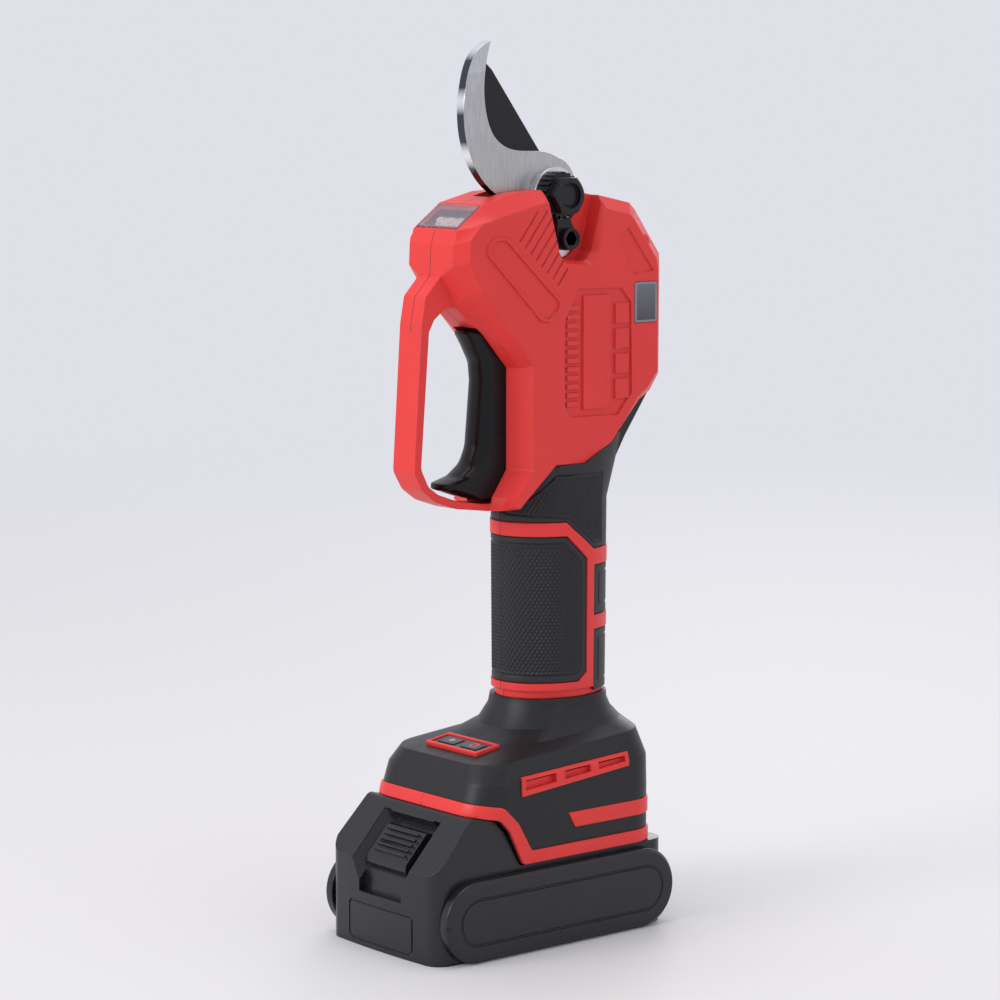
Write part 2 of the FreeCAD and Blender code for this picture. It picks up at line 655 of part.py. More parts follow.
def keypad_plate():
    face = keypad_slab(-1.4, 0.1, 1.2)
    holes = [keypad_slab(0.25, 3, 3, y - BUTTON_HALF, y + BUTTON_HALF, *BUTTON_SPAN)
             for y in (-KEYPAD_Y, KEYPAD_Y)]
    return face.cut(holes)


def keypad_board():
    board = keypad_slab(-2.2, -4.4, 5.6)
    switches = [keypad_slab(0, -3.1, 4.4, y - 1.6, y + 1.6, 0.4, 0.6) for y in (-KEYPAD_Y, KEYPAD_Y)]
    return board.fuse(switches)


def battery_dock():
    """Rails and roof inside the foot that the battery slides on."""
    roof = box(*DOCK_X, -DOCK_HALF, DOCK_HALF, *DOCK_ROOF_Z)
    parts = []
    for side in (-1, 1):
        rail_y = sorted((side * 17.6, side * DOCK_HALF))
        parts.append(box(*DOCK_X, *rail_y, *RAIL_Z))
        wall_y = sorted((side * 28.5, side * DOCK_HALF))
        parts.append(box(*DOCK_X, *wall_y, RAIL_Z[1], DOCK_ROOF_Z[0]))
    parts.append(box(47, DOCK_X[1], -17, 17, RAIL_Z[0], DOCK_ROOF_Z[0]))
    dock = roof.fuse(parts).common(foot_solid(-WALL - 0.05))
    return dock.cut([box(20, 52, y - 0.45, y + 0.45, 35.5, 41) for y in TERMINALS])


def dock_blades():
    return Part.makeCompound([box(32, 50.5, y - 0.4, y + 0.4, 35.6, 40.9) for y in TERMINALS])


# ---- lamp, display ----
def lamp_lens():
    return lamp_plate(0, 0.5, 1.4)


def led_board():
    return lamp_plate(-2.2, -5, 6)


def led_chips():
    along = (LAMP_HIGH - LAMP_LOW).normalize()
    normal = V(-along.z, 0, along.x)
    chips = []
    for y in LED_Y:
        centre = LAMP_LOW + along * 6.6 + V(0, y, 0)
        body = rod(centre - normal * 5, centre - normal * 4, 2.6)
        dome = Part.makeSphere(1.9, centre - normal * 4)
        chips.append(body.fuse(dome.common(rod(centre - normal * 4, centre, 3))))
    return Part.makeCompound(chips)


def display_window():
    return display_hole(0, -HEAD_HALF - 0.3, -HEAD_HALF + 1.5)


def display_module():
    x0, x1, z0, z1 = DISPLAY
    return box(x0 + 0.2, x1 - 1.5, -14.9, -12.6, z0 + 1.5, z1 - 1.5).fuse(
        box(x0 - 4, x1 - 0.5, -12.6, -11.2, z0 - 3, z1 + 3))


# ---- blades and drive ----
def fixed_blade():
    outer = [(-6.7, 338.6), (-14.6, 333.2), (-18.7, 322), (-19.6, 309), (-15.3, 293.6), (-3.7, 281.5)]
    inner = [(26, 295), (15, 297.6), (1.5, 299), (-4.8, 303.2), (-8.8, 312), (-9.6, 325), (-6.7, 338.6)]
    tang = [(-3.7, 281.5), (1.5, 272), (4, 247), (21, 246), (23, 256), (30.2, 257), (30.4, 271),
            (33.5, 277.5)]
    place = on_y(-BLADE_GAP - BLADE)
    heel = Part.Arc(place(33.5, 277.5), place(34.2, 288), place(26, 295)).toShape()
    wire = Part.Wire([curve(outer, place)] + line(tang, place) + [heel, curve(inner, place)])
    blade = Part.Face(wire).extrude(V(0, BLADE, 0))
    holes = [pin_y(PIVOT.x, PIVOT.z, -20, 20, BOLT_R + 0.03)]
    holes += [pin_y(x, z, -20, 20, TANG_HOLE_R) for x, z in TANG_SCREWS]
    holes.append(pin_y(LOCK_SCREW.x, LOCK_SCREW.z, -20, 20, 1.6))
    return blade.cut(holes)


def moving_blade():
    spine = [(-5.6, 330.6), (-2.6, 328), (20.8, 297.3), (30, 291)]
    edge = [(10.4, 278.5), (1, 286), (-6.5, 292.5), (-11, 302), (-11.4, 314), (-5.6, 330.6)]
    tail = [(36, 276.8), (47, 275.6), (52.5, 272.5), (52.8, 267.5), (48, 264.3), (37, 263.2),
            (29, 268.2)]
    place = on_y(BLADE_GAP)
    shoulder = Part.Arc(place(30, 291), place(34.2, 285), place(36, 276.8)).toShape()
    hub = Part.Arc(place(29, 268.2), place(17, 269.6), place(10.4, 278.5)).toShape()
    wire = Part.Wire(line(spine, place) + [shoulder] + line(tail, place) + [hub, curve(edge, place)])
    blade = Part.Face(wire).extrude(V(0, BLADE, 0))
    return blade.cut([cam_slot(0.06), pin_y(PIVOT.x, PIVOT.z, -20, 20, BOLT_R + 0.05)])


def blade_frame():
    """Steel plate on the far side that ties pivot, fixed blade and gearbox together."""
    y0, y1 = FRAME_Y
    points = [(2, 246), (24, 244), (24.5, 216), (43, 214), (43.5, 224), (37, 250), (36, 281, 4),
              (32, 292, 4), (14, 292, 4), (2, 272, 3)]
    sheet = plate(points, "y", y0, y1)
    shelf = drive_rod(54.5, 57.5, 12).cut(drive_rod(50, 60, 5.6))
    sheet = sheet.fuse(shelf)
    holes = [pin_y(PIVOT.x, PIVOT.z, 0, 20, BOLT_R + 0.03)]
    holes += [pin_y(x, z, 0, 20, TANG_HOLE_R) for x, z in TANG_SCREWS]
    return sheet.cut(holes)


def frame_spacers():
    """Tubes between the hook blade's tang and the frame plate, and the one on the pivot bolt."""
    tubes = [pin_y(x, z, -BLADE_GAP, FRAME_Y[0], 3.2).cut(pin_y(x, z, -2, 20, TANG_HOLE_R + 0.05))
             for x, z in TANG_SCREWS]
    bolt_hole = pin_y(PIVOT.x, PIVOT.z, 0, 20, BOLT_R + 0.03)
    tubes.append(pin_y(PIVOT.x, PIVOT.z, BLADE + 2 * BLADE_GAP, FRAME_Y[0], 9).cut(bolt_hole))
    return Part.makeCompound(tubes)


def frame_screws():
    screws = []
    seat = -BLADE_GAP - BLADE
    for x, z in TANG_SCREWS:
        head = pin_y(x, z, seat - 2, seat, 2.8)
        socket = hexagon(x, z, 1.25, seat - 2.1, seat - 0.8)
        screws.append(head.cut(socket).fuse(pin_y(x, z, seat, FRAME_Y[1], TANG_HOLE_R - 0.05)))
    return Part.makeCompound(screws)


def hexagon(x, z, inner_radius, y0, y1):
    r = inner_radius / math.cos(math.radians(30))
    points = [(x + r * math.cos(math.radians(60 * i)), z + r * math.sin(math.radians(60 * i)))
              for i in range(6)]
    return plate(points, "y", y0, y1)


def pivot_bolt():
    head = pin_y(PIVOT.x, PIVOT.z, FRAME_Y[1], FRAME_Y[1] + 4.4, 6.6)
    head = head.cut(hexagon(PIVOT.x, PIVOT.z, 2.5, FRAME_Y[1] + 1.6, 30))
    return head.fuse(pin_y(PIVOT.x, PIVOT.z, -14.6, FRAME_Y[1], BOLT_R))


def pivot_washer():
    """Bright boss under the nut."""
    y0 = -BLADE_GAP - BLADE
    return pin_y(PIVOT.x, PIVOT.z, NUT_Y[2], y0, WASHER_R).cut(
        pin_y(PIVOT.x, PIVOT.z, -20, 20, BOLT_R + 0.03))


def pivot_nut():
    """Toothed lock nut with a chamfered hexagon and a round recess in its face."""
    points = []
    for i in range(LOCK_TEETH):
        for part, radius in ((0, 8.9), (0.32, 8.9), (0.5, 7.9), (0.82, 7.9)):
            angle = 2 * math.pi * (i + part) / LOCK_TEETH
            points.append((PIVOT.x + radius * math.cos(angle), PIVOT.z + radius * math.sin(angle)))
    ring = plate(points, "y", NUT_Y[1], NUT_Y[2])
    chamfer = Part.makeCone(6.4, 7.6, 1.0, V(PIVOT.x, NUT_Y[0], PIVOT.z), Y_AXIS)
    chamfer = chamfer.fuse(pin_y(PIVOT.x, PIVOT.z, NUT_Y[0] + 1.0, NUT_Y[1], 7.6))
    nut = ring.fuse(hexagon(PIVOT.x, PIVOT.z, 6.7, NUT_Y[0], NUT_Y[1]).common(chamfer))
    return nut.cut([pin_y(PIVOT.x, PIVOT.z, NUT_Y[0] + 1.4, 0, BOLT_R + 0.03),
                    pin_y(PIVOT.x, PIVOT.z, NUT_Y[0] - 1, NUT_Y[0] + 1.8, 4.9)])


def lock_plate():
    """Arm that holds the nut's teeth, under the lock screw."""
    x, z = LOCK_SCREW.x, LOCK_SCREW.z
    arm = plate([(x - 5, z + 9.4), (x + 1.4, z + 9.4), (x + 2.6, z + 3.6, 1), (x + 4.4, z + 0.6, 1.5),
                 (x + 4.4, z - 4.4, 4.2), (x - 4.8, z - 4.4, 4.2)], "y", *LOCK_PLATE_Y)
    arm = arm.cut(pin_y(PIVOT.x, PIVOT.z, -20, 0, 9.1))
    return arm.cut(pin_y(x, z, -20, 0, 1.75))


def lock_spacer():
    """Bright rounded foot under the lock plate."""
    x, z = LOCK_SCREW.x, LOCK_SCREW.z
    foot = plate([(x - 5, z + 4), (x + 5.2, z + 4), (x + 5.2, z - 7.2, 4.4), (x - 5, z - 7.2, 4.4)],
                 "y", LOCK_PLATE_Y[1], -BLADE_GAP - BLADE)
    return foot.cut(pin_y(x, z, -20, 0, 1.75))


def lock_screw():
    x, z = LOCK_SCREW.x, LOCK_SCREW.z
    top = LOCK_PLATE_Y[0] - 2.8
    head = pin_y(x, z, top, LOCK_PLATE_Y[0], 4.1).cut(pin_y(x, z, top - 1, top + 0.5, 3.2))
    head = head.cut(hexagon(x, z, 2.2, top, top + 1.8))
    return head.fuse(pin_y(x, z, LOCK_PLATE_Y[0], -BLADE_GAP, 1.55))


def drive_pin():
    return pin_y(DRIVE_TOP.x, DRIVE_TOP.z, -3.6, 7.8, PIN_R)


def drive_nut():
    """Ball nut with the fork that carries the drive pin."""
    body = drive_rod(21, 37, 6.2)
    cheeks = [plate([(32.6, 245), (41, 245), (42.3, 270), (40.5, 274.4, 3), (34.6, 274.4, 3),
                     (33, 270)], "y", y0, y0 + 3.3) for y0 in (-3.6, 4.5)]
    bridge = drive_rod(21, 25, 6.2)
    nut = body.fuse(cheeks + [bridge])
    tail_space = plate([(20, 300), (60, 300), (60, 251), (20, 251)], "y", -GAP,
                       BLADE_GAP + BLADE + GAP)
    return nut.cut([drive_rod(8, 40, SCREW_R + 0.06), tail_space,
                    pin_y(DRIVE_TOP.x, DRIVE_TOP.z, -20, 20, PIN_R)])


def drive_screw():
    """Ball screw with rolled grooves and the journal that enters the gearbox."""
    thread = drive_rod(24.5, 53, SCREW_R)
    grooves = []
    for i in range(9):
        start = 26 + 3 * i
        grooves.append(drive_rod(start, start + 1.3, SCREW_R + 1).cut(
            drive_rod(start, start + 1.3, SCREW_R - 0.5)))
    shaft = thread.cut(grooves)
    return shaft.fuse([drive_rod(53, 60, 3.0), drive_rod(52, 53, 4.6)])


def screw_bearing():
    return drive_rod(54.6, 57.4, 5.55).cut(drive_rod(50, 60, 3.05))


def gearbox():
    case = drive_rod(57.6, 84, 12.2).cut(drive_rod(57, 62, 3.3))
    return case.cut([drive_rod(66, 67, 20).cut(drive_rod(65, 68, 11.6)),
                     drive_rod(78, 79, 20).cut(drive_rod(77, 80, 11.6))])


def motor():
    return drive_rod(84.1, 118, 11.8).fuse(drive_rod(118, 120.5, 4))


def power_leads():
    """Leads from the dock to the controller board, and from the board to the motor."""
    leads = [rod(V(30, y, 44.6), V(28, y, 97.8), 1.3) for y in (-2.6, 2.6)]
    for y in (-3, 3):
        leads.append(rod(drive_point(118.3) + V(-7, y, 0), V(17, y, 145.2), 1.1))
    return Part.makeCompound(leads)


def controller_board():
    board = box(10, 40, -0.8, 0.8, 98, 145)
    chips = [box(14, 20, -3, -0.8, 102 + 9 * i, 108 + 9 * i) for i in range(4)]
    capacitors = [pin_y(32, 108 + 14 * i, 0.8, 11, 5) for i in range(2)]
    return board.fuse(chips + capacitors)


# ---- trigger ----
def trigger_outline(inset):
    """Side view of the trigger; inset draws its front and toe back for the rounded flanks."""
    d = inset
    return [(-19.6 + d, 231.6 - 0.2 * d, 1), (-16 + d, 225.5, 6), (-12.5 + d, 219, 6),
            (-11.8 + d, 212, 8), (-14.1 + d, 187, 12), (-16.8 + d, 181, 8), (-22.6 + d, 176.6, 6),
            (-30.2 + d, 174.6 - 0.1 * d, 0.8), (-30.4 + d, 172.4 + 0.1 * d, 0.8),
            (-22 + 0.6 * d, 169.6 + 0.3 * d, 6), (-13, 167.3 + 0.2 * d, 3), (-6.5, 167.3 + 0.2 * d, 3),
            (1.2, 175.6, 3), (2.6, 182), (2.6, 222), (-0.6, 232.4, 4), (-8.6, 233.6, 3),
            (-13, 231.4 - 0.2 * d)]


def trigger():
    half = [(0, 0), (0.5 * TRIGGER_HALF, 0.7), (0.8 * TRIGGER_HALF, 2.2), (TRIGGER_HALF, 4.6)]
    layers = [(-y, trigger_outline(d)) for y, d in half[::-1]] + \
             [(y, trigger_outline(d)) for y, d in half[1:]]
    body = layered(layers)
    cup = rod(V(0, 0, 200), V(4, 0, 200), 3.6)
    return body.cut([pin_y(TRIGGER_PIVOT.x, TRIGGER_PIVOT.z, -20, 20, TRIGGER_PIN_R + 0.05), cup])


def trigger_pin():
    return pin_y(TRIGGER_PIVOT.x, TRIGGER_PIVOT.z, -12.4, 12.4, TRIGGER_PIN_R)


def trigger_switch():
    body = box(12.2, 17, -5, 5, 192, 215)
    plunger = box(5.4, 12.2, -2.2, 2.2, 205, 209)
    seat = rod(V(12.2, 0, 200), V(11.6, 0, 200), 3.8)
    return body.fuse([plunger, seat])


def coil(start, end, radius, wire, turns):
    """Closed helical spring between two points."""
    length = (end - start).Length
    helix = Part.makeHelix(length / turns, length, radius)
    profile = Part.Wire(Part.Circle(V(radius, 0, 0), Y_AXIS, wire).toShape())
    spring = Part.Wire(helix).makePipeShell([profile], True, True)
    turn = FreeCAD.Rotation(UP, end - start)
    spring.Placement = FreeCAD.Placement(start, turn)
    return spring


def trigger_spring():
    return coil(V(0.6, 0, 200), V(11, 0, 200), 2.2, 0.4, 6)


# ---- battery ----
def pack_plan(inset, z0, z1):
    """Battery's plan view, its front face slightly bowed."""
    front = PACK_FRONT + inset
    rear = PACK_REAR - inset
    half = PACK_HALF - inset
    r = 7 - inset
    place = on_z(z0)
    bow = Part.Arc(place(front + 0.9, half - r), place(front, 0), place(front + 0.9, r - half))
    corner = math.sqrt(0.5) * r
    arcs = [bow,
            Part.Arc(place(front + 0.9, r - half), place(front + 0.9 + r - corner, r - half - corner),
                     place(front + 0.9 + r, -half)),
            Part.Arc(place(rear - r, -half), place(rear - r + corner, r - half - corner),
                     place(rear, r - half)),
            Part.Arc(place(rear, half - r), place(rear - r + corner, half - r + corner),
                     place(rear - r, half)),
            Part.Arc(place(front + 0.9 + r, half), place(front + 0.9 + r - corner, half - r + corner),
                     place(front + 0.9, half - r))]
    edges = [arcs[0].toShape(), arcs[1].toShape(),
             Part.makeLine(place(front + 0.9 + r, -half), place(rear - r, -half)),
             arcs[2].toShape(), Part.makeLine(place(rear, r - half), place(rear, half - r)),
             arcs[3].toShape(), Part.makeLine(place(rear - r, half), place(front + 0.9 + r, half)),
             arcs[4].toShape()]
    return Part.Face(Part.Wire(edges)).extrude(V(0, 0, z1 - z0))


def side_panel_outline(inset):
    r = 15.2 - inset
    return [(-55 + inset, 0.4 + inset, r), (57.8 - inset, 0.4 + inset, r),
            (57.8 - inset, 30.9 - inset, r), (-55 + inset, 30.9 - inset, r)]


def panel_openings():
    """Openings in the case walls behind the side panels, where the cells' ends reach through."""
    return [plate(side_panel_outline(2), "y", *sorted((side * 30, side * 40))) for side in (-1, 1)]


def battery_lower_case():
    """Tray of the battery, with a shallow frame line round a plain field on its front."""
    case = pack_plan(0, 0, PACK_SEAM).cut(pack_plan(PACK_WALL, PACK_WALL, PACK_SEAM + 1))
    frames = []
    for inset, radius in ((0, 2.5), (0.9, 1.8)):
        half, low, high = 19.5 - inset, 2 + inset, 17.3 - inset
        corners = [(-half, low, radius), (half, low, radius), (half, high, radius),
                   (-half, high, radius)]
        frames.append(plate(corners, "x", -60, -50))
    skin = pack_plan(-1, 0, PACK_SEAM).cut(pack_plan(0.5, 0, PACK_SEAM))
    return case.cut(panel_openings() + [frames[0].cut(frames[1]).common(skin)])


def battery_upper_case():
    profile = [(PACK_FRONT - 1, PACK_SEAM), (PACK_FRONT - 1, 32.4), (PACK_FRONT, 32.8, 1),
               (-38.4, 53.4, 3), (-27.6, 51.0, 5), (-22.9, 46.0, 4), (-16.7, PACK_TOP, 2),
               (PACK_REAR + 1, PACK_TOP), (PACK_REAR + 1, PACK_SEAM)]
    inner = [(PACK_FRONT + 2.5, PACK_SEAM), (PACK_FRONT + 2.5, 32), (-38.8, 50.6), (-29, 48.6),
             (-25.2, 44.8), (-18.3, 30.6), (PACK_REAR - 2, 30.6), (PACK_REAR - 2, PACK_SEAM)]
    flanks = [(-PACK_HALF, PACK_SEAM), (PACK_HALF, PACK_SEAM), (PACK_HALF, 33), (31, 54), (-31, 54),
              (-PACK_HALF, 33)]
    outside = plate(profile, "y", -PACK_HALF, PACK_HALF).common(pack_plan(0, PACK_SEAM, 60))
    outside = outside.common(plate(flanks, "x", -80, 80))
    half = PACK_HALF - PACK_WALL
    hollow = plate(inner, "y", -half, half).common(pack_plan(PACK_WALL, PACK_SEAM, 60))
    case = outside.cut(hollow)
    stem = box(-12, 46.4, -17.2, 17.2, PACK_TOP - 1, 38)
    lips = box(-12, 46.4, -21.6, 21.6, 37.8, 41.9)
    slots = [box(29, 50, y - 1.3, y + 1.3, 35, 45) for y in TERMINALS]
    lining = [(PACK_FRONT - 1, PACK_SEAM), slope_point(-6, -2), slope_point(25, 0),
              slope_point(25, 11), slope_point(0, 11), (PACK_FRONT + 6, PACK_SEAM)]
    lining = plate(lining, "y", -19, 19).common(outside)
    case = case.fuse([stem, lips, lining]).cut(slots)
    return case.cut([latch_recess(), latch_well()] + panel_openings())


def slope_point(along, depth):
    """Point on the pack's front slope: a way up it from its foot, and a depth below it."""
    foot, crest = V(PACK_FRONT, 0, 32.8), V(-38.4, 0, 53.4)
    up = (crest - foot).normalize()
    inward = V(up.z, 0, -up.x)
    point = foot + up * along + inward * depth
    return (point.x, point.z)


def latch_recess():
    """Tapered pocket for the latch in the front slope."""
    side = [(PACK_FRONT - 3, 21), slope_point(-6, -6), slope_point(23, -6), slope_point(23, 5.4),
            slope_point(0, 5.4), (PACK_FRONT + 3.2, 21)]
    floor = plate(side, "y", -12.8, 12.8)
    taper = []
    for turn in (-1, 1):
        a = [slope_point(-14, 0), slope_point(23.6, 0), slope_point(23, 5.4), slope_point(-14, 5.4)]
        b = [slope_point(-14, 0), slope_point(23.6, 0), slope_point(23.6, 0.3),
             slope_point(-14, 0.3)]
        taper.append(Part.makeLoft([outline(a, on_y(turn * 12.8)), outline(b, on_y(turn * 17))],
                                   True, True))
    return floor.fuse(taper)


def latch_well():
    """Hole through the recess's floor for the latch's stem, with the spring's pocket below."""
    side = [slope_point(5.6, 0), slope_point(16.4, 0), slope_point(16.4, 12), slope_point(3, 12),
            slope_point(3, 6.5), slope_point(5.6, 6.5)]
    return plate(side, "y", -9, 9)


def battery_latch():
    """Ribbed thumb piece with its tongue; it slides down the slope."""
    face = [slope_point(1.6, 2.8), slope_point(3.6, 1.2), slope_point(18, 1.2),
            slope_point(19.4, 2.6), slope_point(19.6, 5.2), slope_point(1.6, 5.2)]
    body = plate(face, "y", -11.8, 11.8)
    ribs = []
    for i in range(5):
        start = 6.2 + 2.4 * i
        ribs.append(plate([slope_point(start, -0.1), slope_point(start + 1.1, -0.1),
                           slope_point(start + 1.1, 2), slope_point(start, 2)], "y", -9.6, 9.6))
    stem = plate([slope_point(9, 5), slope_point(16, 5), slope_point(16, 9.5), slope_point(9, 9.5)],
                 "y", -8, 8)
    return body.fuse(ribs + [stem])


def latch_spring():
    low, high = slope_point(3.4, 8.3), slope_point(8.6, 8.3)
    return coil(V(low[0], 0, low[1]), V(high[0], 0, high[1]), 1.3, 0.3, 4)


def side_panel(side):
    """Hollow obround side panel with a groove round its face; side is -1 or 1."""
    y_in, y_out = PACK_HALF + 0.05, PANEL_HALF
    body = plate(side_panel_outline(0), "y", *sorted((side * y_in, side * (y_out - 1.4))))
    rim = Part.makeLoft([outline(side_panel_outline(0), on_y(side * (y_out - 1.4))),
                         outline(side_panel_outline(1.4), on_y(side * y_out))], True, True)
    pocket = plate(side_panel_outline(2.2), "y", *sorted((side * (y_in - 1), side * (y_out - 2.2))))
    ring = plate(side_panel_outline(6.2), "y", *sorted((side * (y_out - 0.7), side * (y_out + 1))))
    ring = ring.cut(plate(side_panel_outline(7.1), "y",
                          *sorted((side * (y_out - 1), side * (y_out + 2)))))
    return body.fuse(rim).cut([pocket, ring])


def battery_cells():
    return Part.makeCompound([pin_y(x, CELL_Z, -CELL_LENGTH / 2, CELL_LENGTH / 2, CELL_R)
                              for x in CELL_X])


def cell_holders():
    holders = []
    for side in (-1, 1):
        frame = box(-50, 50, *sorted((side * 24, side * 28)), 2.1, 22)
        holders.append(frame.cut([pin_y(x, CELL_Z, -40, 40, CELL_R + 0.05) for x in CELL_X]))
    return Part.makeCompound(holders)


def cell_straps():
    straps = []
    for side in (-1, 1):
        for x in (-29.3, 9.7) if side < 0 else (-9.7, 29.3):
            y0, y1 = sorted((side * 32.55, side * 32.85))
            straps.append(box(x - 14, x + 14, y0, y1, CELL_Z - 3.5, CELL_Z + 3.5))
    return Part.makeCompound(straps)


def battery_board():
    board = box(-48, 50, -28, 28, 23, 24.6)
    parts = [box(-30 + 16 * i, -22 + 16 * i, -20, -12, 24.6, 27) for i in range(4)]
    return board.fuse(parts)


def battery_clips():
    """Spring leaves either side of each dock blade."""
    leaves = []
    for y in TERMINALS:
        for side in (-1, 1):
            y0, y1 = sorted((y + side * 0.75, y + side * 1.15))
            leaves.append(box(34, 45.5, y0, y1, 35.2, 41))
    return Part.makeCompound(leaves)


def export(parts):
    os.makedirs("parts", exist_ok=True)
    for name, shape in parts.items():
        if not shape.isValid():
            print("invalid", name)
        print(name, len(shape.Solids), round(shape.Volume))
        shape.exportStep("parts/" + name + ".step")


def both_sides(parts, name, shape):
    parts["left_" + name] = shape
    parts["right_" + name] = mirror(shape)


def main():
    parts = {}
    parts["left_housing"] = left_housing()
    parts["right_housing"] = right_housing()
    parts["housing_screws"] = housing_screws()
    both_sides(parts, "collar", left_collar())
    both_sides(parts, "grip_pad", pad(MAIN_PAD, 90, 160))
    parts["back_pads"] = back_pads()
    both_sides(parts, "foot", left_foot())
    both_sides(parts, "foot_trim", left_foot_trim())
    both_sides(parts, "vent_frame", left_vent_frame())
    parts["keypad_frame"] = keypad_frame()
    parts["keypad_plate"] = keypad_plate()
    parts["keypad_board"] = keypad_board()
    parts["power_button"] = keypad_button(-KEYPAD_Y)
    parts["mode_button"] = keypad_button(KEYPAD_Y)
    for make in (battery_dock, dock_blades, lamp_lens, led_board, led_chips, display_window,
                 display_module, fixed_blade, moving_blade, blade_frame, frame_spacers, frame_screws,
                 pivot_bolt, pivot_washer, pivot_nut, lock_plate, lock_spacer,
                 lock_screw, drive_pin, drive_nut, drive_screw, screw_bearing, gearbox, motor,
                 power_leads, controller_board, trigger, trigger_pin, trigger_switch,
                 trigger_spring, battery_lower_case, battery_upper_case, battery_latch,
                 latch_spring, battery_cells, cell_holders, cell_straps, battery_board,
                 battery_clips):
        parts[make.__name__] = make()
    for name, side in (("left", -1), ("right", 1)):
        parts[name + "_pack_panel"] = side_panel(side)
    export(parts)


main()
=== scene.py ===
import math

import bpy
import numpy as np
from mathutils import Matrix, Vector


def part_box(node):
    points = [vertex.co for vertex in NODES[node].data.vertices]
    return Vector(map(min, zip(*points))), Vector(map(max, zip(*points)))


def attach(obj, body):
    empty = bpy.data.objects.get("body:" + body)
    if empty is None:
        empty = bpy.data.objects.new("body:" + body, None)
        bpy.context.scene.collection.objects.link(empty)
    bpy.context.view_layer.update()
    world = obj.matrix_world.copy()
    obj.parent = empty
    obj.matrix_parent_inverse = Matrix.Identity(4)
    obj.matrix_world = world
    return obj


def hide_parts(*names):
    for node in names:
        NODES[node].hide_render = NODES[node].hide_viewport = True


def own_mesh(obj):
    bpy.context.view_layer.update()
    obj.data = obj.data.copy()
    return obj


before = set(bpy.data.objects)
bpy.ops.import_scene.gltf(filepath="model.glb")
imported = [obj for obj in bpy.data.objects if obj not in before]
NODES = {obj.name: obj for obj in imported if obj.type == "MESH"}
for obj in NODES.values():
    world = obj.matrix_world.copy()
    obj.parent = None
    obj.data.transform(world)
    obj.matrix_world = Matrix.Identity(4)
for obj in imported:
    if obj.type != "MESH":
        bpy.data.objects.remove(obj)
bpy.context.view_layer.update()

# Battery electric pruner: looks. Metres, +Z up, in the imported model's frame. Each CAD node keeps
# its shape and gets a procedural material. The nodes in ROUND get rounded edges, and most materials
# round the edges' shading as well. The rubber skins are rebuilt with their knurl, and the two
# springs are copied onto the bodies that carry them.

MM = 0.001

# ---- dimensions shared with the CAD model ----
GRIP_MIDDLE_X = 25.5 * MM              # middle of the grip's oval
GRIP_RADIUS = 21.5 * MM                # its mean radius
BLADE_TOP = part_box("fixed_blade")[1].z

# ---- line where the left and right halves meet ----
SEAM_HALF = 0.17 * MM
STRAP_SPLIT = 232.5 * MM               # below this the guard's strap shows no line
STRAP_REAR = 0.5 * MM                  # behind this X the line shows at every height

# ---- printed marks and the display's frame line ----
KEY_RING_RADIUS = 1.7 * MM
KEY_RING_HALF = 0.45 * MM
KEY_DOT_RADIUS = 1.5 * MM
FRAME_LINE_START = 1.0 * MM            # in from the window's edge
FRAME_LINE_FULL = 0.8 * MM

# ---- moulded finish: spots in a metre ----
TONE_SPOTS = 38.0
SCUFF_SPOTS = 260.0

# ---- steel blade: ground faces, paler tip, and painted reflection bands along its polished edge ----
GRIND_FINE = 3400                      # streaks in a metre, across the grinding
GRIND_LONG = 120                       # and along it
GRIND_LEAN = math.radians(-14)
TIP_LENGTH = 13.2 * MM                 # the paler tip starts this far down
TIP_BLEND = 0.5 * MM
TIP_LEAN = math.radians(8)
TIP_STRENGTH = 0.3
EDGE_ROUGHNESS = 0.13
REFLECTION_BAND_PITCH = 20 * MM
BRIGHT_REFLECTION_MIDDLE = BLADE_TOP - 22.3 * MM    # middle of the brightest painted reflection band
WAVE_RADIANS = 20                      # the wave texture turns this far per metre at scale 1

# ---- edge rounding, in mm: which width each node gets ----
ROUND = {1.2: ["battery_lower_case", "battery_upper_case", "left_pack_panel", "right_pack_panel"],
         0.8: ["trigger"],
         0.7: ["left_foot", "right_foot"],
         0.35: ["left_foot_trim", "right_foot_trim", "battery_latch", "left_vent_frame",
                "right_vent_frame", "keypad_frame"],
         0.25: ["power_button", "mode_button", "keypad_plate", "lamp_lens", "display_window",
                "pivot_nut", "pivot_bolt", "pivot_washer", "lock_plate", "lock_spacer",
                "lock_screw", "fixed_blade", "moving_blade", "housing_screws", "blade_frame"]}
ROUND_ANGLE = math.radians(26)         # sharper edges than this are rounded
COPLANAR = math.radians(0.4)
WELD_GAP = 0.002 * MM

# ---- rubber skins, in mm; outlines are X and Z ----
MAIN_PAD = [(-5, 96.2), (24.2, 96.2), (28, 99.4), (28, 143), (18.5, 152.2), (-5, 152.2)]
COLLAR_PANEL = [(1, 162.5), (2, 161), (20, 159), (32, 149), (37.5, 149), (37, 175.5), (15, 175.5)]
BACK_PADS = [[(32.6, 121), (60, 121), (60, 140), (32.6, 140)],
             [(32.6, 91.5), (60, 91.5), (60, 115), (32.6, 115)]]
MAIN_PAD_INSET = 2.7                   # its groove runs this far inside its outline
BACK_PAD_INSET = 3.2
DIAMOND_WIDE = 1.7
DIAMOND_TALL = 2.7
DIAMOND_SLOPE = 1.5                    # over 1, so that the pyramids have flat tops
KNURL_DEPTH = 0.55
KNURL_START = 0.7                      # the knurl begins this far inside the groove
KNURL_RISE = 0.4                       # and is full this much further in
GROOVE_DEPTH = 0.62
GROOVE_HALF = 0.35
VOXEL = 0.27 * MM
FACING_LOW = 0.6                       # relief starts on faces that look this much outward
FACING_SPAN = 0.25

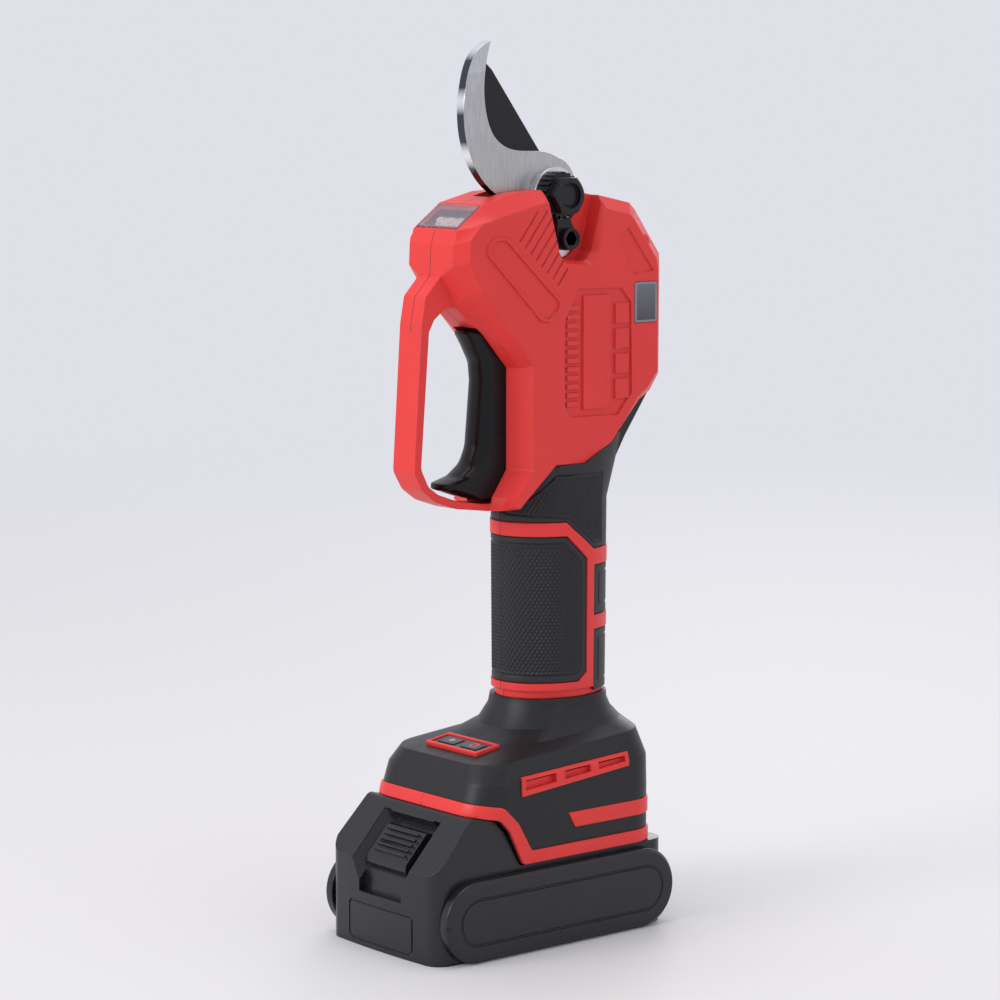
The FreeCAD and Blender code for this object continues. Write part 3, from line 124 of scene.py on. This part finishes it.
# ---- camera and floor ----
CAMERA_PLACE = Vector((-0.795, -0.959, 0.330))
CAMERA_AZIMUTH = math.radians(-39.7)
CAMERA_RISE = math.radians(7.5)
CAMERA_LENS = 119.2
SENSOR_WIDTH = 36.0
FLOOR_HALF = 5.0                       # half the floor's width
FLOOR_SOLID = 0.25                     # radius up to which the paper is fully seen
FLOOR_FADED = 1.7                      # radius where it has faded into the surround


# ---- materials ----
MIX_COLOURS = slice(6, 8)              # the mix node's two colour inputs
MIX_RESULT = 2                         # and its colour output


def linear(red, green, blue):
    """Linear colour from 8-bit screen values."""
    channels = [value / 255 for value in (red, green, blue)]
    return (*[c / 12.92 if c <= 0.04045 else ((c + 0.055) / 1.055) ** 2.4 for c in channels], 1.0)


def scaled(colour, factor):
    return (*[min(1.0, c * factor) for c in colour[:3]], 1.0)


def blank(name, roughness=0.5, metallic=0.0):
    """A new material and its Principled shader."""
    material = bpy.data.materials.new(name)
    material.use_nodes = True
    shader = material.node_tree.nodes["Principled BSDF"]
    shader.inputs["Roughness"].default_value = roughness
    shader.inputs["Metallic"].default_value = metallic
    return material, material.node_tree, shader


def add(tree, kind, links=None, values=None, **settings):
    """A node with its settings, the sockets linked into it, and its socket values."""
    made = tree.nodes.new(kind)
    for key, value in settings.items():
        setattr(made, key, value)
    for key, value in (values or {}).items():
        made.inputs[key].default_value = value
    for key, socket in (links or {}).items():
        tree.links.new(socket, made.inputs[key])
    return made


def coordinates(tree, scale=(1, 1, 1), turn=(0, 0, 0)):
    """Position on the object, in metres, stretched along its axes."""
    place = add(tree, "ShaderNodeTexCoord").outputs["Object"]
    return add(tree, "ShaderNodeMapping", {"Vector": place},
               {"Scale": scale, "Rotation": turn}).outputs["Vector"]


def noise(tree, place, scale, detail=3.0, roughness=0.5):
    return add(tree, "ShaderNodeTexNoise", {"Vector": place},
               {"Scale": scale, "Detail": detail, "Roughness": roughness}).outputs["Fac"]


def spread(tree, value, low, high, to_low, to_high):
    """Maps low..high to to_low..to_high, with the ends held."""
    return add(tree, "ShaderNodeMapRange", {"Value": value},
               {"From Min": low, "From Max": high, "To Min": to_low, "To Max": to_high}
               ).outputs["Result"]


def maths(tree, operation, first, second=0):
    """The result of an operation; each operand is a number or a socket."""
    made = add(tree, "ShaderNodeMath", operation=operation)
    for index, item in enumerate((first, second)):
        if isinstance(item, (int, float)):
            made.inputs[index].default_value = item
        else:
            tree.links.new(item, made.inputs[index])
    return made.outputs["Value"]


def mixed(tree, factor, first, second):
    """Colour between first and second; each is a colour or a socket."""
    made = add(tree, "ShaderNodeMix", data_type="RGBA")
    tree.links.new(factor, made.inputs["Factor"])
    for socket, item in zip(made.inputs[MIX_COLOURS], (first, second)):
        if isinstance(item, tuple):
            socket.default_value = item
        else:
            tree.links.new(item, socket)
    return made.outputs[MIX_RESULT]


def rounded_normal(tree, radius):
    return add(tree, "ShaderNodeBevel", values={"Radius": radius}, samples=4).outputs["Normal"]


def edge_mask(tree, rounded):
    """1 near sharp edges and 0 on plain faces."""
    flat = add(tree, "ShaderNodeNewGeometry").outputs["Normal"]
    dot = add(tree, "ShaderNodeVectorMath", operation="DOT_PRODUCT")
    tree.links.new(rounded, dot.inputs[0])
    tree.links.new(flat, dot.inputs[1])
    return spread(tree, dot.outputs["Value"], 0.995, 0.8, 0.0, 1.0)


def bumped(tree, height, distance, strength=1.0, normal=None):
    made = add(tree, "ShaderNodeBump", {"Height": height},
               {"Distance": distance, "Strength": strength})
    if normal is not None:
        tree.links.new(normal, made.inputs["Normal"])
    return made.outputs["Normal"]


def moulded(name, colour, worn, roughness, grain, depth, wear, rounding, specular=0.5,
            metallic=0.0):
    """Moulded plastic or rubber: spark-eroded grain, soft tone changes and paler rubbed edges."""
    material, tree, shader = blank(name, metallic=metallic)
    shader.inputs["Specular IOR Level"].default_value = specular
    place = coordinates(tree)
    tone = noise(tree, place, TONE_SPOTS, 4.0)
    fine = noise(tree, place, 1 / grain, 2.0, 0.6)
    scuffs = noise(tree, coordinates(tree, (1, 1, 0.35)), SCUFF_SPOTS, 5.0, 0.65)
    rounded = rounded_normal(tree, rounding)
    rubbed = maths(tree, "MULTIPLY", edge_mask(tree, rounded),
                   spread(tree, scuffs, 0.42, 0.62, 0.0, wear))
    base = mixed(tree, tone, scaled(colour, 0.9), scaled(colour, 1.1))
    speckled = mixed(tree, spread(tree, fine, 0.3, 0.7, 0.0, 0.12), base, worn)
    tree.links.new(mixed(tree, rubbed, speckled, worn), shader.inputs["Base Color"])
    shine = maths(tree, "ADD", spread(tree, tone, 0.3, 0.7, roughness - 0.05, roughness + 0.05),
                  spread(tree, fine, 0.3, 0.7, -0.04, 0.06))
    tree.links.new(shine, shader.inputs["Roughness"])
    tree.links.new(bumped(tree, fine, depth, 1.0, rounded), shader.inputs["Normal"])
    return material, tree, shader


def joint_line(tree):
    """1 on the line where the left and right halves meet."""
    apart = add(tree, "ShaderNodeSeparateXYZ", {"Vector": coordinates(tree)}).outputs
    line = spread(tree, maths(tree, "ABSOLUTE", apart["Y"]), 0.6 * SEAM_HALF, SEAM_HALF, 1.0, 0.0)
    split = maths(tree, "MAXIMUM", maths(tree, "GREATER_THAN", apart["Z"], STRAP_SPLIT),
                  maths(tree, "GREATER_THAN", apart["X"], STRAP_REAR))
    return maths(tree, "MULTIPLY", line, split)


def red_shell():
    """Housing plastic, with a dark line where the two halves meet."""
    material, tree, shader = moulded("red_shell", linear(222, 44, 42), linear(242, 112, 106),
                                     roughness=0.42, grain=0.42 * MM, depth=0.04 * MM, wear=0.35,
                                     rounding=0.8 * MM, specular=0.4)
    body = shader.inputs["Base Color"].links[0].from_socket
    tree.links.new(mixed(tree, joint_line(tree), body, linear(96, 12, 12)),
                   shader.inputs["Base Color"])
    return material


def red_trim():
    return moulded("red_trim", linear(224, 46, 42), linear(242, 112, 106), roughness=0.38,
                   grain=0.5 * MM, depth=0.03 * MM, wear=0.3, rounding=0.4 * MM, specular=0.4)[0]


def grip_rubber():
    return moulded("grip_rubber", linear(24, 24, 28), linear(84, 86, 92), roughness=0.5,
                   grain=0.3 * MM, depth=0.03 * MM, wear=0.5, rounding=0.25 * MM,
                   specular=0.42)[0]


def foot_plastic():
    return moulded("foot_plastic", linear(20, 20, 23), linear(84, 85, 91), roughness=0.4,
                   grain=0.45 * MM, depth=0.05 * MM, wear=0.4, rounding=0.6 * MM,
                   specular=0.34)[0]


def pack_plastic():
    return moulded("pack_plastic", linear(15, 15, 19), linear(80, 81, 90), roughness=0.28,
                   grain=0.5 * MM, depth=0.02 * MM, wear=0.3, rounding=0.3 * MM,
                   specular=0.46)[0]


def trigger_plastic():
    return moulded("trigger_plastic", linear(5, 5, 7), linear(52, 53, 60), roughness=0.26,
                   grain=0.4 * MM, depth=0.012 * MM, wear=0.3, rounding=0.8 * MM,
                   specular=0.24)[0]


def printed_ring(tree, button, radius, half_width):
    """1 on a ring round the middle of a button."""
    low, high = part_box(button)
    middle = (low + high) / 2
    away = add(tree, "ShaderNodeVectorMath", {0: coordinates(tree)}, {1: (middle.x, middle.y, 0)},
               operation="SUBTRACT").outputs["Vector"]
    flat = add(tree, "ShaderNodeVectorMath", {0: away}, {1: (1, 1, 0)},
               operation="MULTIPLY").outputs["Vector"]
    length = add(tree, "ShaderNodeVectorMath", {0: flat}, operation="LENGTH").outputs["Value"]
    off = maths(tree, "ABSOLUTE", maths(tree, "SUBTRACT", length, radius))
    return spread(tree, off, 0.7 * half_width, half_width, 1.0, 0.0)


def key_plastic():
    """Dark keys with a plain red ring and a plain grey dot printed on them."""
    material, tree, shader = moulded("key_plastic", linear(44, 45, 52), linear(100, 102, 112),
                                     roughness=0.42, grain=0.4 * MM, depth=0.01 * MM, wear=0.3,
                                     rounding=0.25 * MM)
    body = shader.inputs["Base Color"].links[0].from_socket
    ring = printed_ring(tree, "power_button", KEY_RING_RADIUS, KEY_RING_HALF)
    dot = printed_ring(tree, "mode_button", 0.0, KEY_DOT_RADIUS)
    inked = mixed(tree, ring, body, linear(214, 52, 52))
    tree.links.new(mixed(tree, dot, inked, linear(150, 152, 158)), shader.inputs["Base Color"])
    return material


def holder_plastic():
    return moulded("holder_plastic", linear(214, 208, 190), linear(238, 234, 222), roughness=0.5,
                   grain=0.5 * MM, depth=0.01 * MM, wear=0.2, rounding=0.2 * MM)[0]


def lead_cover():
    return moulded("lead_cover", linear(30, 30, 32), linear(70, 70, 74), roughness=0.45,
                   grain=0.4 * MM, depth=0.01 * MM, wear=0.2, rounding=0.1 * MM)[0]


def clear_lens():
    """Clear window with faint moulding haze."""
    material, tree, shader = blank("clear_lens", 0.08)
    haze = noise(tree, coordinates(tree), 420.0)
    shader.inputs["Base Color"].default_value = linear(238, 232, 244)
    shader.inputs["Transmission Weight"].default_value = 0.94
    shader.inputs["IOR"].default_value = 1.49
    tree.links.new(spread(tree, haze, 0.3, 0.7, 0.05, 0.16), shader.inputs["Roughness"])
    tree.links.new(bumped(tree, haze, 0.02 * MM, 0.5), shader.inputs["Normal"])
    return material


def display_glass():
    """Smoked window: dark grey with a painted reflection that lightens it towards its top, and a
    paler frame line.
    """
    material, tree, shader = blank("display_glass", 0.14)
    place = coordinates(tree)
    apart = add(tree, "ShaderNodeSeparateXYZ", {"Vector": place}).outputs
    low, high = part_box("display_window")
    middle, half = (low + high) / 2, (high - low) / 2
    # painted reflection: the glass is lightened from its bottom to its top
    rise = spread(tree, apart["Z"], low.z, high.z, 0.0, 1.0)
    painted_reflection = mixed(tree, rise, linear(58, 58, 64), linear(104, 104, 110))
    edges = []
    for axis, centre, reach in (("X", middle.x, half.x), ("Z", middle.z, half.z)):
        off = maths(tree, "ABSOLUTE", maths(tree, "SUBTRACT", apart[axis], centre))
        edges.append(spread(tree, off, reach - FRAME_LINE_START, reach - FRAME_LINE_FULL,
                            0.0, 1.0))
    framed = mixed(tree, maths(tree, "MAXIMUM", *edges), painted_reflection, linear(128, 128, 136))
    smear = noise(tree, place, 300.0)
    tree.links.new(framed, shader.inputs["Base Color"])
    tree.links.new(spread(tree, smear, 0.3, 0.7, 0.1, 0.2), shader.inputs["Roughness"])
    tree.links.new(rounded_normal(tree, 0.3 * MM), shader.inputs["Normal"])
    shader.inputs["Coat Weight"].default_value = 0.3
    shader.inputs["Coat Roughness"].default_value = 0.08
    return material


def led():
    """White light-emitting chips with a yellowish phosphor pattern; the lamp is off, and a faint
    painted glow stands in for their glints.
    """
    material, tree, shader = blank("led", 0.3)
    spots = noise(tree, coordinates(tree), 1500.0, 2.0)
    tree.links.new(mixed(tree, spots, linear(250, 248, 240), linear(246, 226, 160)),
                   shader.inputs["Base Color"])
    tree.links.new(bumped(tree, spots, 0.02 * MM), shader.inputs["Normal"])
    # painted glint: the unlit chips glow faintly
    shader.inputs["Emission Color"].default_value = linear(255, 252, 244)
    shader.inputs["Emission Strength"].default_value = 0.15
    return material


def brushed(name, colour, roughness, stretch, turn=(0, 0, 0), depth=0.004 * MM, wear=0.0,
            worn=None, rounding=0.2 * MM, contrast=0.15):
    """Metal with fine streaks; stretch gives the streak frequency along each axis."""
    material, tree, shader = blank(name, roughness, 1.0)
    streaks = noise(tree, coordinates(tree, stretch, turn), 1.0, 5.0, 0.7)
    stains = noise(tree, coordinates(tree), 90.0, 4.0)
    rounded = rounded_normal(tree, rounding)
    base = mixed(tree, spread(tree, streaks, 0.3, 0.7, 0.0, 1.0), scaled(colour, 1 - contrast),
                 scaled(colour, 1 + contrast))
    toned = mixed(tree, spread(tree, stains, 0.35, 0.75, 0.0, 0.35), base, scaled(colour, 0.75))
    if worn is not None:
        toned = mixed(tree, maths(tree, "MULTIPLY", edge_mask(tree, rounded), wear), toned, worn)
    tree.links.new(toned, shader.inputs["Base Color"])
    shine = maths(tree, "ADD", spread(tree, streaks, 0.3, 0.7, roughness - 0.07, roughness + 0.09),
                  spread(tree, stains, 0.3, 0.7, -0.02, 0.03))
    tree.links.new(shine, shader.inputs["Roughness"])
    tree.links.new(bumped(tree, streaks, depth, 1.0, rounded), shader.inputs["Normal"])
    return material, tree, shader


def blade_steel():
    """Ground steel: streaks along the blade on its faces, and narrow polished edges that carry
    a painted reflection in bands, dark and bright in turn."""
    material, tree, shader = brushed("blade_steel", linear(184, 184, 184), 0.34,
                                     (GRIND_FINE, GRIND_FINE, GRIND_LONG), (0, GRIND_LEAN, 0),
                                     0.012 * MM, 0.5, linear(232, 233, 236), contrast=0.2)
    normal = add(tree, "ShaderNodeNewGeometry").outputs["Normal"]
    across = add(tree, "ShaderNodeSeparateXYZ", {"Vector": normal}).outputs["Y"]
    face = spread(tree, maths(tree, "ABSOLUTE", across), 0.5, 0.85, 0.0, 1.0)
    ground = shader.inputs["Roughness"].links[0].from_socket
    tree.links.new(maths(tree, "ADD", maths(tree, "MULTIPLY", ground, face),
                         maths(tree, "MULTIPLY", maths(tree, "SUBTRACT", 1, face),
                               EDGE_ROUGHNESS)),
                   shader.inputs["Roughness"])
    height = add(tree, "ShaderNodeSeparateXYZ",
                 {"Vector": coordinates(tree, turn=(0, TIP_LEAN, 0))}).outputs["Z"]
    tip_low = BLADE_TOP - TIP_LENGTH
    tip = spread(tree, height, tip_low, tip_low + TIP_BLEND, 0.0, TIP_STRENGTH)
    body = shader.inputs["Base Color"].links[0].from_socket
    tipped = mixed(tree, tip, body, linear(214, 216, 220))
    # painted reflection: the dark and bright bands, and the polished edge colour mixed from them
    reflection_bands = add(tree, "ShaderNodeTexWave", {"Vector": coordinates(tree, (0, 0, 1))},
                {"Scale": math.tau / (WAVE_RADIANS * REFLECTION_BAND_PITCH), "Distortion": 0.0,
                 "Phase Offset": math.pi - math.tau * BRIGHT_REFLECTION_MIDDLE / REFLECTION_BAND_PITCH},
                bands_direction="Z").outputs["Fac"]
    polished = mixed(tree, spread(tree, reflection_bands, 0.5, 1.0, 0.0, 1.0), linear(74, 76, 86),
                     linear(244, 245, 248))
    tree.links.new(mixed(tree, face, polished, tipped), shader.inputs["Base Color"])
    return material


def blade_coated():
    """Black low-friction coating, rubbed along its edges."""
    return moulded("blade_coated", linear(22, 22, 25), linear(110, 111, 116), roughness=0.46,
                   grain=0.25 * MM, depth=0.012 * MM, wear=0.5, rounding=0.25 * MM, specular=0.3,
                   metallic=0.2)[0]


def black_oxide():
    """Blackened steel of the nut, the lock plate and the screws."""
    return moulded("black_oxide", linear(17, 17, 20), linear(96, 97, 102), roughness=0.3,
                   grain=0.3 * MM, depth=0.015 * MM, wear=0.6, rounding=0.25 * MM,
                   metallic=0.4)[0]


def bright_steel():
    return brushed("bright_steel", linear(214, 216, 220), 0.2, (900, 900, 900), wear=0.4,
                   worn=linear(240, 240, 244))[0]


def frame_alloy():
    return brushed("frame_alloy", linear(170, 172, 176), 0.42, (700, 700, 700),
                   depth=0.02 * MM)[0]


def contact_brass():
    return brushed("contact_brass", linear(214, 176, 98), 0.28, (1500, 400, 400))[0]


def circuit():
    """Green circuit board with fine traces and pads."""
    material, tree, shader = blank("circuit", 0.4)
    cells = add(tree, "ShaderNodeTexBrick", {"Vector": coordinates(tree)},
                {"Scale": 420.0, "Mortar Size": 0.06, "Color1": linear(22, 84, 44),
                 "Color2": linear(26, 96, 52), "Mortar": linear(120, 150, 90)})
    tree.links.new(cells.outputs["Color"], shader.inputs["Base Color"])
    tree.links.new(bumped(tree, cells.outputs["Fac"], 0.03 * MM), shader.inputs["Normal"])
    return material


def cell_wrap():
    """Shrink-wrapped battery cells."""
    return moulded("cell_wrap", linear(44, 96, 160), linear(96, 150, 204), roughness=0.3,
                   grain=0.8 * MM, depth=0.01 * MM, wear=0.2, rounding=0.2 * MM)[0]


MAKERS = [red_shell, red_trim, grip_rubber, foot_plastic, pack_plastic, trigger_plastic,
          key_plastic, clear_lens, display_glass, led, blade_steel, blade_coated, black_oxide,
          bright_steel, frame_alloy, circuit, contact_brass, cell_wrap, holder_plastic, lead_cover]


def repaint():
    """Gives every CAD node the procedural material that its slot is named after."""
    finishes = {maker.__name__: maker() for maker in MAKERS}
    for piece in NODES.values():
        for slot in piece.material_slots:
            slot.material = finishes[slot.material.name.split(".")[0]]


# ---- rounded edges ----
def smooth_shading(mesh):
    """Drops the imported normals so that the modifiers' own faces are shaded."""
    for name in ("custom_normal", "sharp_edge", "sharp_face"):
        if name in mesh.attributes:
            mesh.attributes.remove(mesh.attributes[name])


def round_edges(piece, width):
    """Joins a node's flat faces into whole ones and rounds the edges between them."""
    smooth_shading(piece.data)
    weld = piece.modifiers.new("weld", "WELD")
    weld.merge_threshold = WELD_GAP
    flats = piece.modifiers.new("flats", "DECIMATE")
    flats.decimate_type = "DISSOLVE"
    flats.angle_limit = COPLANAR
    edges = piece.modifiers.new("edges", "BEVEL")
    edges.width = width
    edges.segments = 2
    edges.limit_method = "ANGLE"
    edges.angle_limit = ROUND_ANGLE
    edges.use_clamp_overlap = True
    edges.miter_outer = "MITER_ARC"
    shade = piece.modifiers.new("shade", "WEIGHTED_NORMAL")
    shade.keep_sharp = True


# ---- camera, lights and floor ----
def linked(name, data):
    """A new object in the scene."""
    made = bpy.data.objects.new(name, data)
    bpy.context.scene.collection.objects.link(made)
    return made


def camera():
    data = bpy.data.cameras.new("camera")
    data.lens = CAMERA_LENS
    data.sensor_width = SENSOR_WIDTH
    made = linked("camera", data)
    level = math.cos(CAMERA_RISE)
    back = Vector((math.sin(CAMERA_AZIMUTH) * level, -math.cos(CAMERA_AZIMUTH) * level,
                   math.sin(CAMERA_RISE)))
    made.location = CAMERA_PLACE
    made.rotation_euler = (-back).to_track_quat("-Z", "Y").to_euler()
    bpy.context.scene.camera = made


def area_light(name, place, target, size, power, colour=(1, 1, 1)):
    data = bpy.data.lights.new(name, "AREA")
    data.shape = "RECTANGLE"
    data.size, data.size_y = size
    data.energy = power
    data.color = colour
    made = linked(name, data)
    made.location = place
    made.rotation_euler = (Vector(target) - Vector(place)).to_track_quat("-Z", "Y").to_euler()


def lights():
    """A bright surround, with soft boxes that lift the guard's side and the tops; watts."""
    middle = (0, 0, 0.17)
    area_light("key", (-1.35, 0.2, 0.75), middle, (0.7, 0.7), 9, (1.0, 0.99, 0.98))
    area_light("side", (0.5, -1.6, 0.8), middle, (1.0, 0.8), 1.5, (0.97, 0.98, 1.0))
    area_light("top", (0.0, 0.1, 1.7), middle, (1.0, 1.0), 7)
    area_light("back", (1.3, 1.0, 0.7), middle, (0.7, 0.7), 4)
    world = bpy.data.worlds.new("studio")
    world.use_nodes = True
    surround = world.node_tree.nodes["Background"].inputs
    surround["Color"].default_value = linear(224, 224, 232)
    surround["Strength"].default_value = 1.0
    bpy.context.scene.world = world


def paper():
    """Studio paper that fades into the surround, so that no horizon shows."""
    material, tree, shader = blank("paper", 0.6)
    place = coordinates(tree)
    fibre = noise(tree, place, 900.0)
    tree.links.new(mixed(tree, fibre, linear(214, 213, 212), linear(219, 218, 217)),
                   shader.inputs["Base Color"])
    tree.links.new(bumped(tree, fibre, 0.02 * MM), shader.inputs["Normal"])
    shader.inputs["Specular IOR Level"].default_value = 0.25
    radius = add(tree, "ShaderNodeVectorMath", {"Vector": place}, operation="LENGTH")
    fade = add(tree, "ShaderNodeMapRange", {"Value": radius.outputs["Value"]},
               {"From Min": FLOOR_SOLID, "From Max": FLOOR_FADED}, interpolation_type="SMOOTHSTEP")
    clear = add(tree, "ShaderNodeBsdfTransparent")
    blend = add(tree, "ShaderNodeMixShader", {"Fac": fade.outputs["Result"]})
    tree.links.new(shader.outputs["BSDF"], blend.inputs[1])
    tree.links.new(clear.outputs["BSDF"], blend.inputs[2])
    tree.links.new(blend.outputs["Shader"], tree.nodes["Material Output"].inputs["Surface"])
    return material


def floor():
    corners = [(x * FLOOR_HALF, y * FLOOR_HALF, 0) for x, y in ((-1, -1), (1, -1), (1, 1), (-1, 1))]
    mesh = bpy.data.meshes.new("floor")
    mesh.from_pydata(corners, [], [(0, 1, 2, 3)])
    mesh.materials.append(paper())
    made = linked("floor", mesh)


# ---- rubber skins ----
def inside_distance(x, z, outline):
    """Distance in from an outline's border, in mm; negative outside."""
    nearest = np.full(x.shape, 1e9)
    inside = np.zeros(x.shape, bool)
    for (ax, az), (bx, bz) in zip(outline, outline[1:] + outline[:1]):
        dx, dz = bx - ax, bz - az
        along = np.clip(((x - ax) * dx + (z - az) * dz) / (dx * dx + dz * dz), 0, 1)
        nearest = np.minimum(nearest, np.hypot(x - ax - along * dx, z - az - along * dz))
        crosses = (az > z) != (bz > z)
        step = np.where(crosses, (z - az) / (dz if dz else 1.0), 0.0)
        inside ^= crosses & (x < ax + step * dx)
    return np.where(inside, nearest, -nearest)


def diamonds(around, up):
    """Height 0..1 of small pyramids between two families of grooves."""
    first = around / DIAMOND_WIDE + up / DIAMOND_TALL
    second = around / DIAMOND_WIDE - up / DIAMOND_TALL
    valleys = [1 - np.abs(2 * (line - np.floor(line)) - 1) for line in (first, second)]
    return np.clip(DIAMOND_SLOPE * np.minimum(*valleys), 0, 1)


def groove(distance):
    return -GROOVE_DEPTH * np.exp(-(distance / GROOVE_HALF) ** 2)


def knurled(distance, around, up):
    """A groove on a panel's border, with knurl inside it."""
    share = np.clip((distance - KNURL_START) / KNURL_RISE, 0, 1)
    return groove(distance) + share * (diamonds(around, up) - 1) * KNURL_DEPTH


def main_relief(x, z, around):
    return knurled(inside_distance(x, z, MAIN_PAD) - MAIN_PAD_INSET, around, z)


def collar_relief(x, z, around):
    return knurled(inside_distance(x, z, COLLAR_PANEL), around, z)


def back_relief(x, z, around):
    """The palm-side pads have a groove each and no knurl."""
    return sum(groove(inside_distance(x, z, outline) - BACK_PAD_INSET) for outline in BACK_PADS)


def dense_copy(name):
    """A node's shape as an even, closed mesh with softly rounded edges."""
    piece = linked(name + "_skin", NODES[name].data.copy())
    weld = piece.modifiers.new("weld", "WELD")
    weld.merge_threshold = WELD_GAP
    remesh = piece.modifiers.new("remesh", "REMESH")
    remesh.mode = "VOXEL"
    remesh.voxel_size = VOXEL
    smooth = piece.modifiers.new("smooth", "SMOOTH")
    smooth.factor = 0.5
    smooth.iterations = 2
    evaluated = piece.evaluated_get(bpy.context.evaluated_depsgraph_get())
    mesh = bpy.data.meshes.new_from_object(evaluated)
    piece.modifiers.clear()
    piece.data = mesh
    return piece


def vectors(collection, count, field):
    """One row of three numbers for each of a mesh's vertices."""
    values = np.zeros(count * 3)
    collection.foreach_get(field, values)
    return values.reshape(-1, 3)


def rubber_skin(name, relief, body):
    """Rebuilds a rubber skin with its relief cut into the outer face."""
    piece = dense_copy(name)
    mesh = piece.data
    points = vectors(mesh.vertices, len(mesh.vertices), "co")
    normals = vectors(mesh.vertex_normals, len(mesh.vertices), "vector")
    outward = np.stack([points[:, 0] - GRIP_MIDDLE_X, points[:, 1]], 1)
    outward /= np.linalg.norm(outward, axis=1)[:, None] + 1e-9
    looks_out = np.sum(outward * normals[:, :2], axis=1)
    facing = np.clip((looks_out - FACING_LOW) / FACING_SPAN, 0, 1)
    around = np.arctan2(outward[:, 1], -outward[:, 0]) * GRIP_RADIUS / MM
    height = relief(points[:, 0] / MM, points[:, 2] / MM, around) * MM
    points += normals * (height * facing)[:, None]
    mesh.vertices.foreach_set("co", points.ravel())
    mesh.polygons.foreach_set("use_smooth", np.ones(len(mesh.polygons), bool))
    mesh.update()
    mesh.materials.clear()
    mesh.materials.append(NODES[name].material_slots[0].material)
    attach(piece, body)
    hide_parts(name)


def rubber_skins():
    for side in ("left", "right"):
        rubber_skin(side + "_grip_pad", main_relief, "housing")
        rubber_skin(side + "_collar", collar_relief, "housing")
    rubber_skin("back_pads", back_relief, "housing")


# ---- springs ----
def spring(name, body):
    """Stands in for a coil spring with a copy of it that rides on the given body."""
    piece = linked(name + "_coil", NODES[name].data.copy())
    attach(piece, body)
    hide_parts(name)
    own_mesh(piece)


def springs():
    """Both springs, each on the body away from the moving part."""
    spring("trigger_spring", "housing")
    spring("latch_spring", "battery")


# ---- making ----
camera()
lights()
floor()
repaint()
for rounding, names in ROUND.items():
    for node_name in names:
        round_edges(NODES[node_name], rounding * MM)
rubber_skins()
springs()
bpy.context.scene.view_settings.view_transform = "Standard"
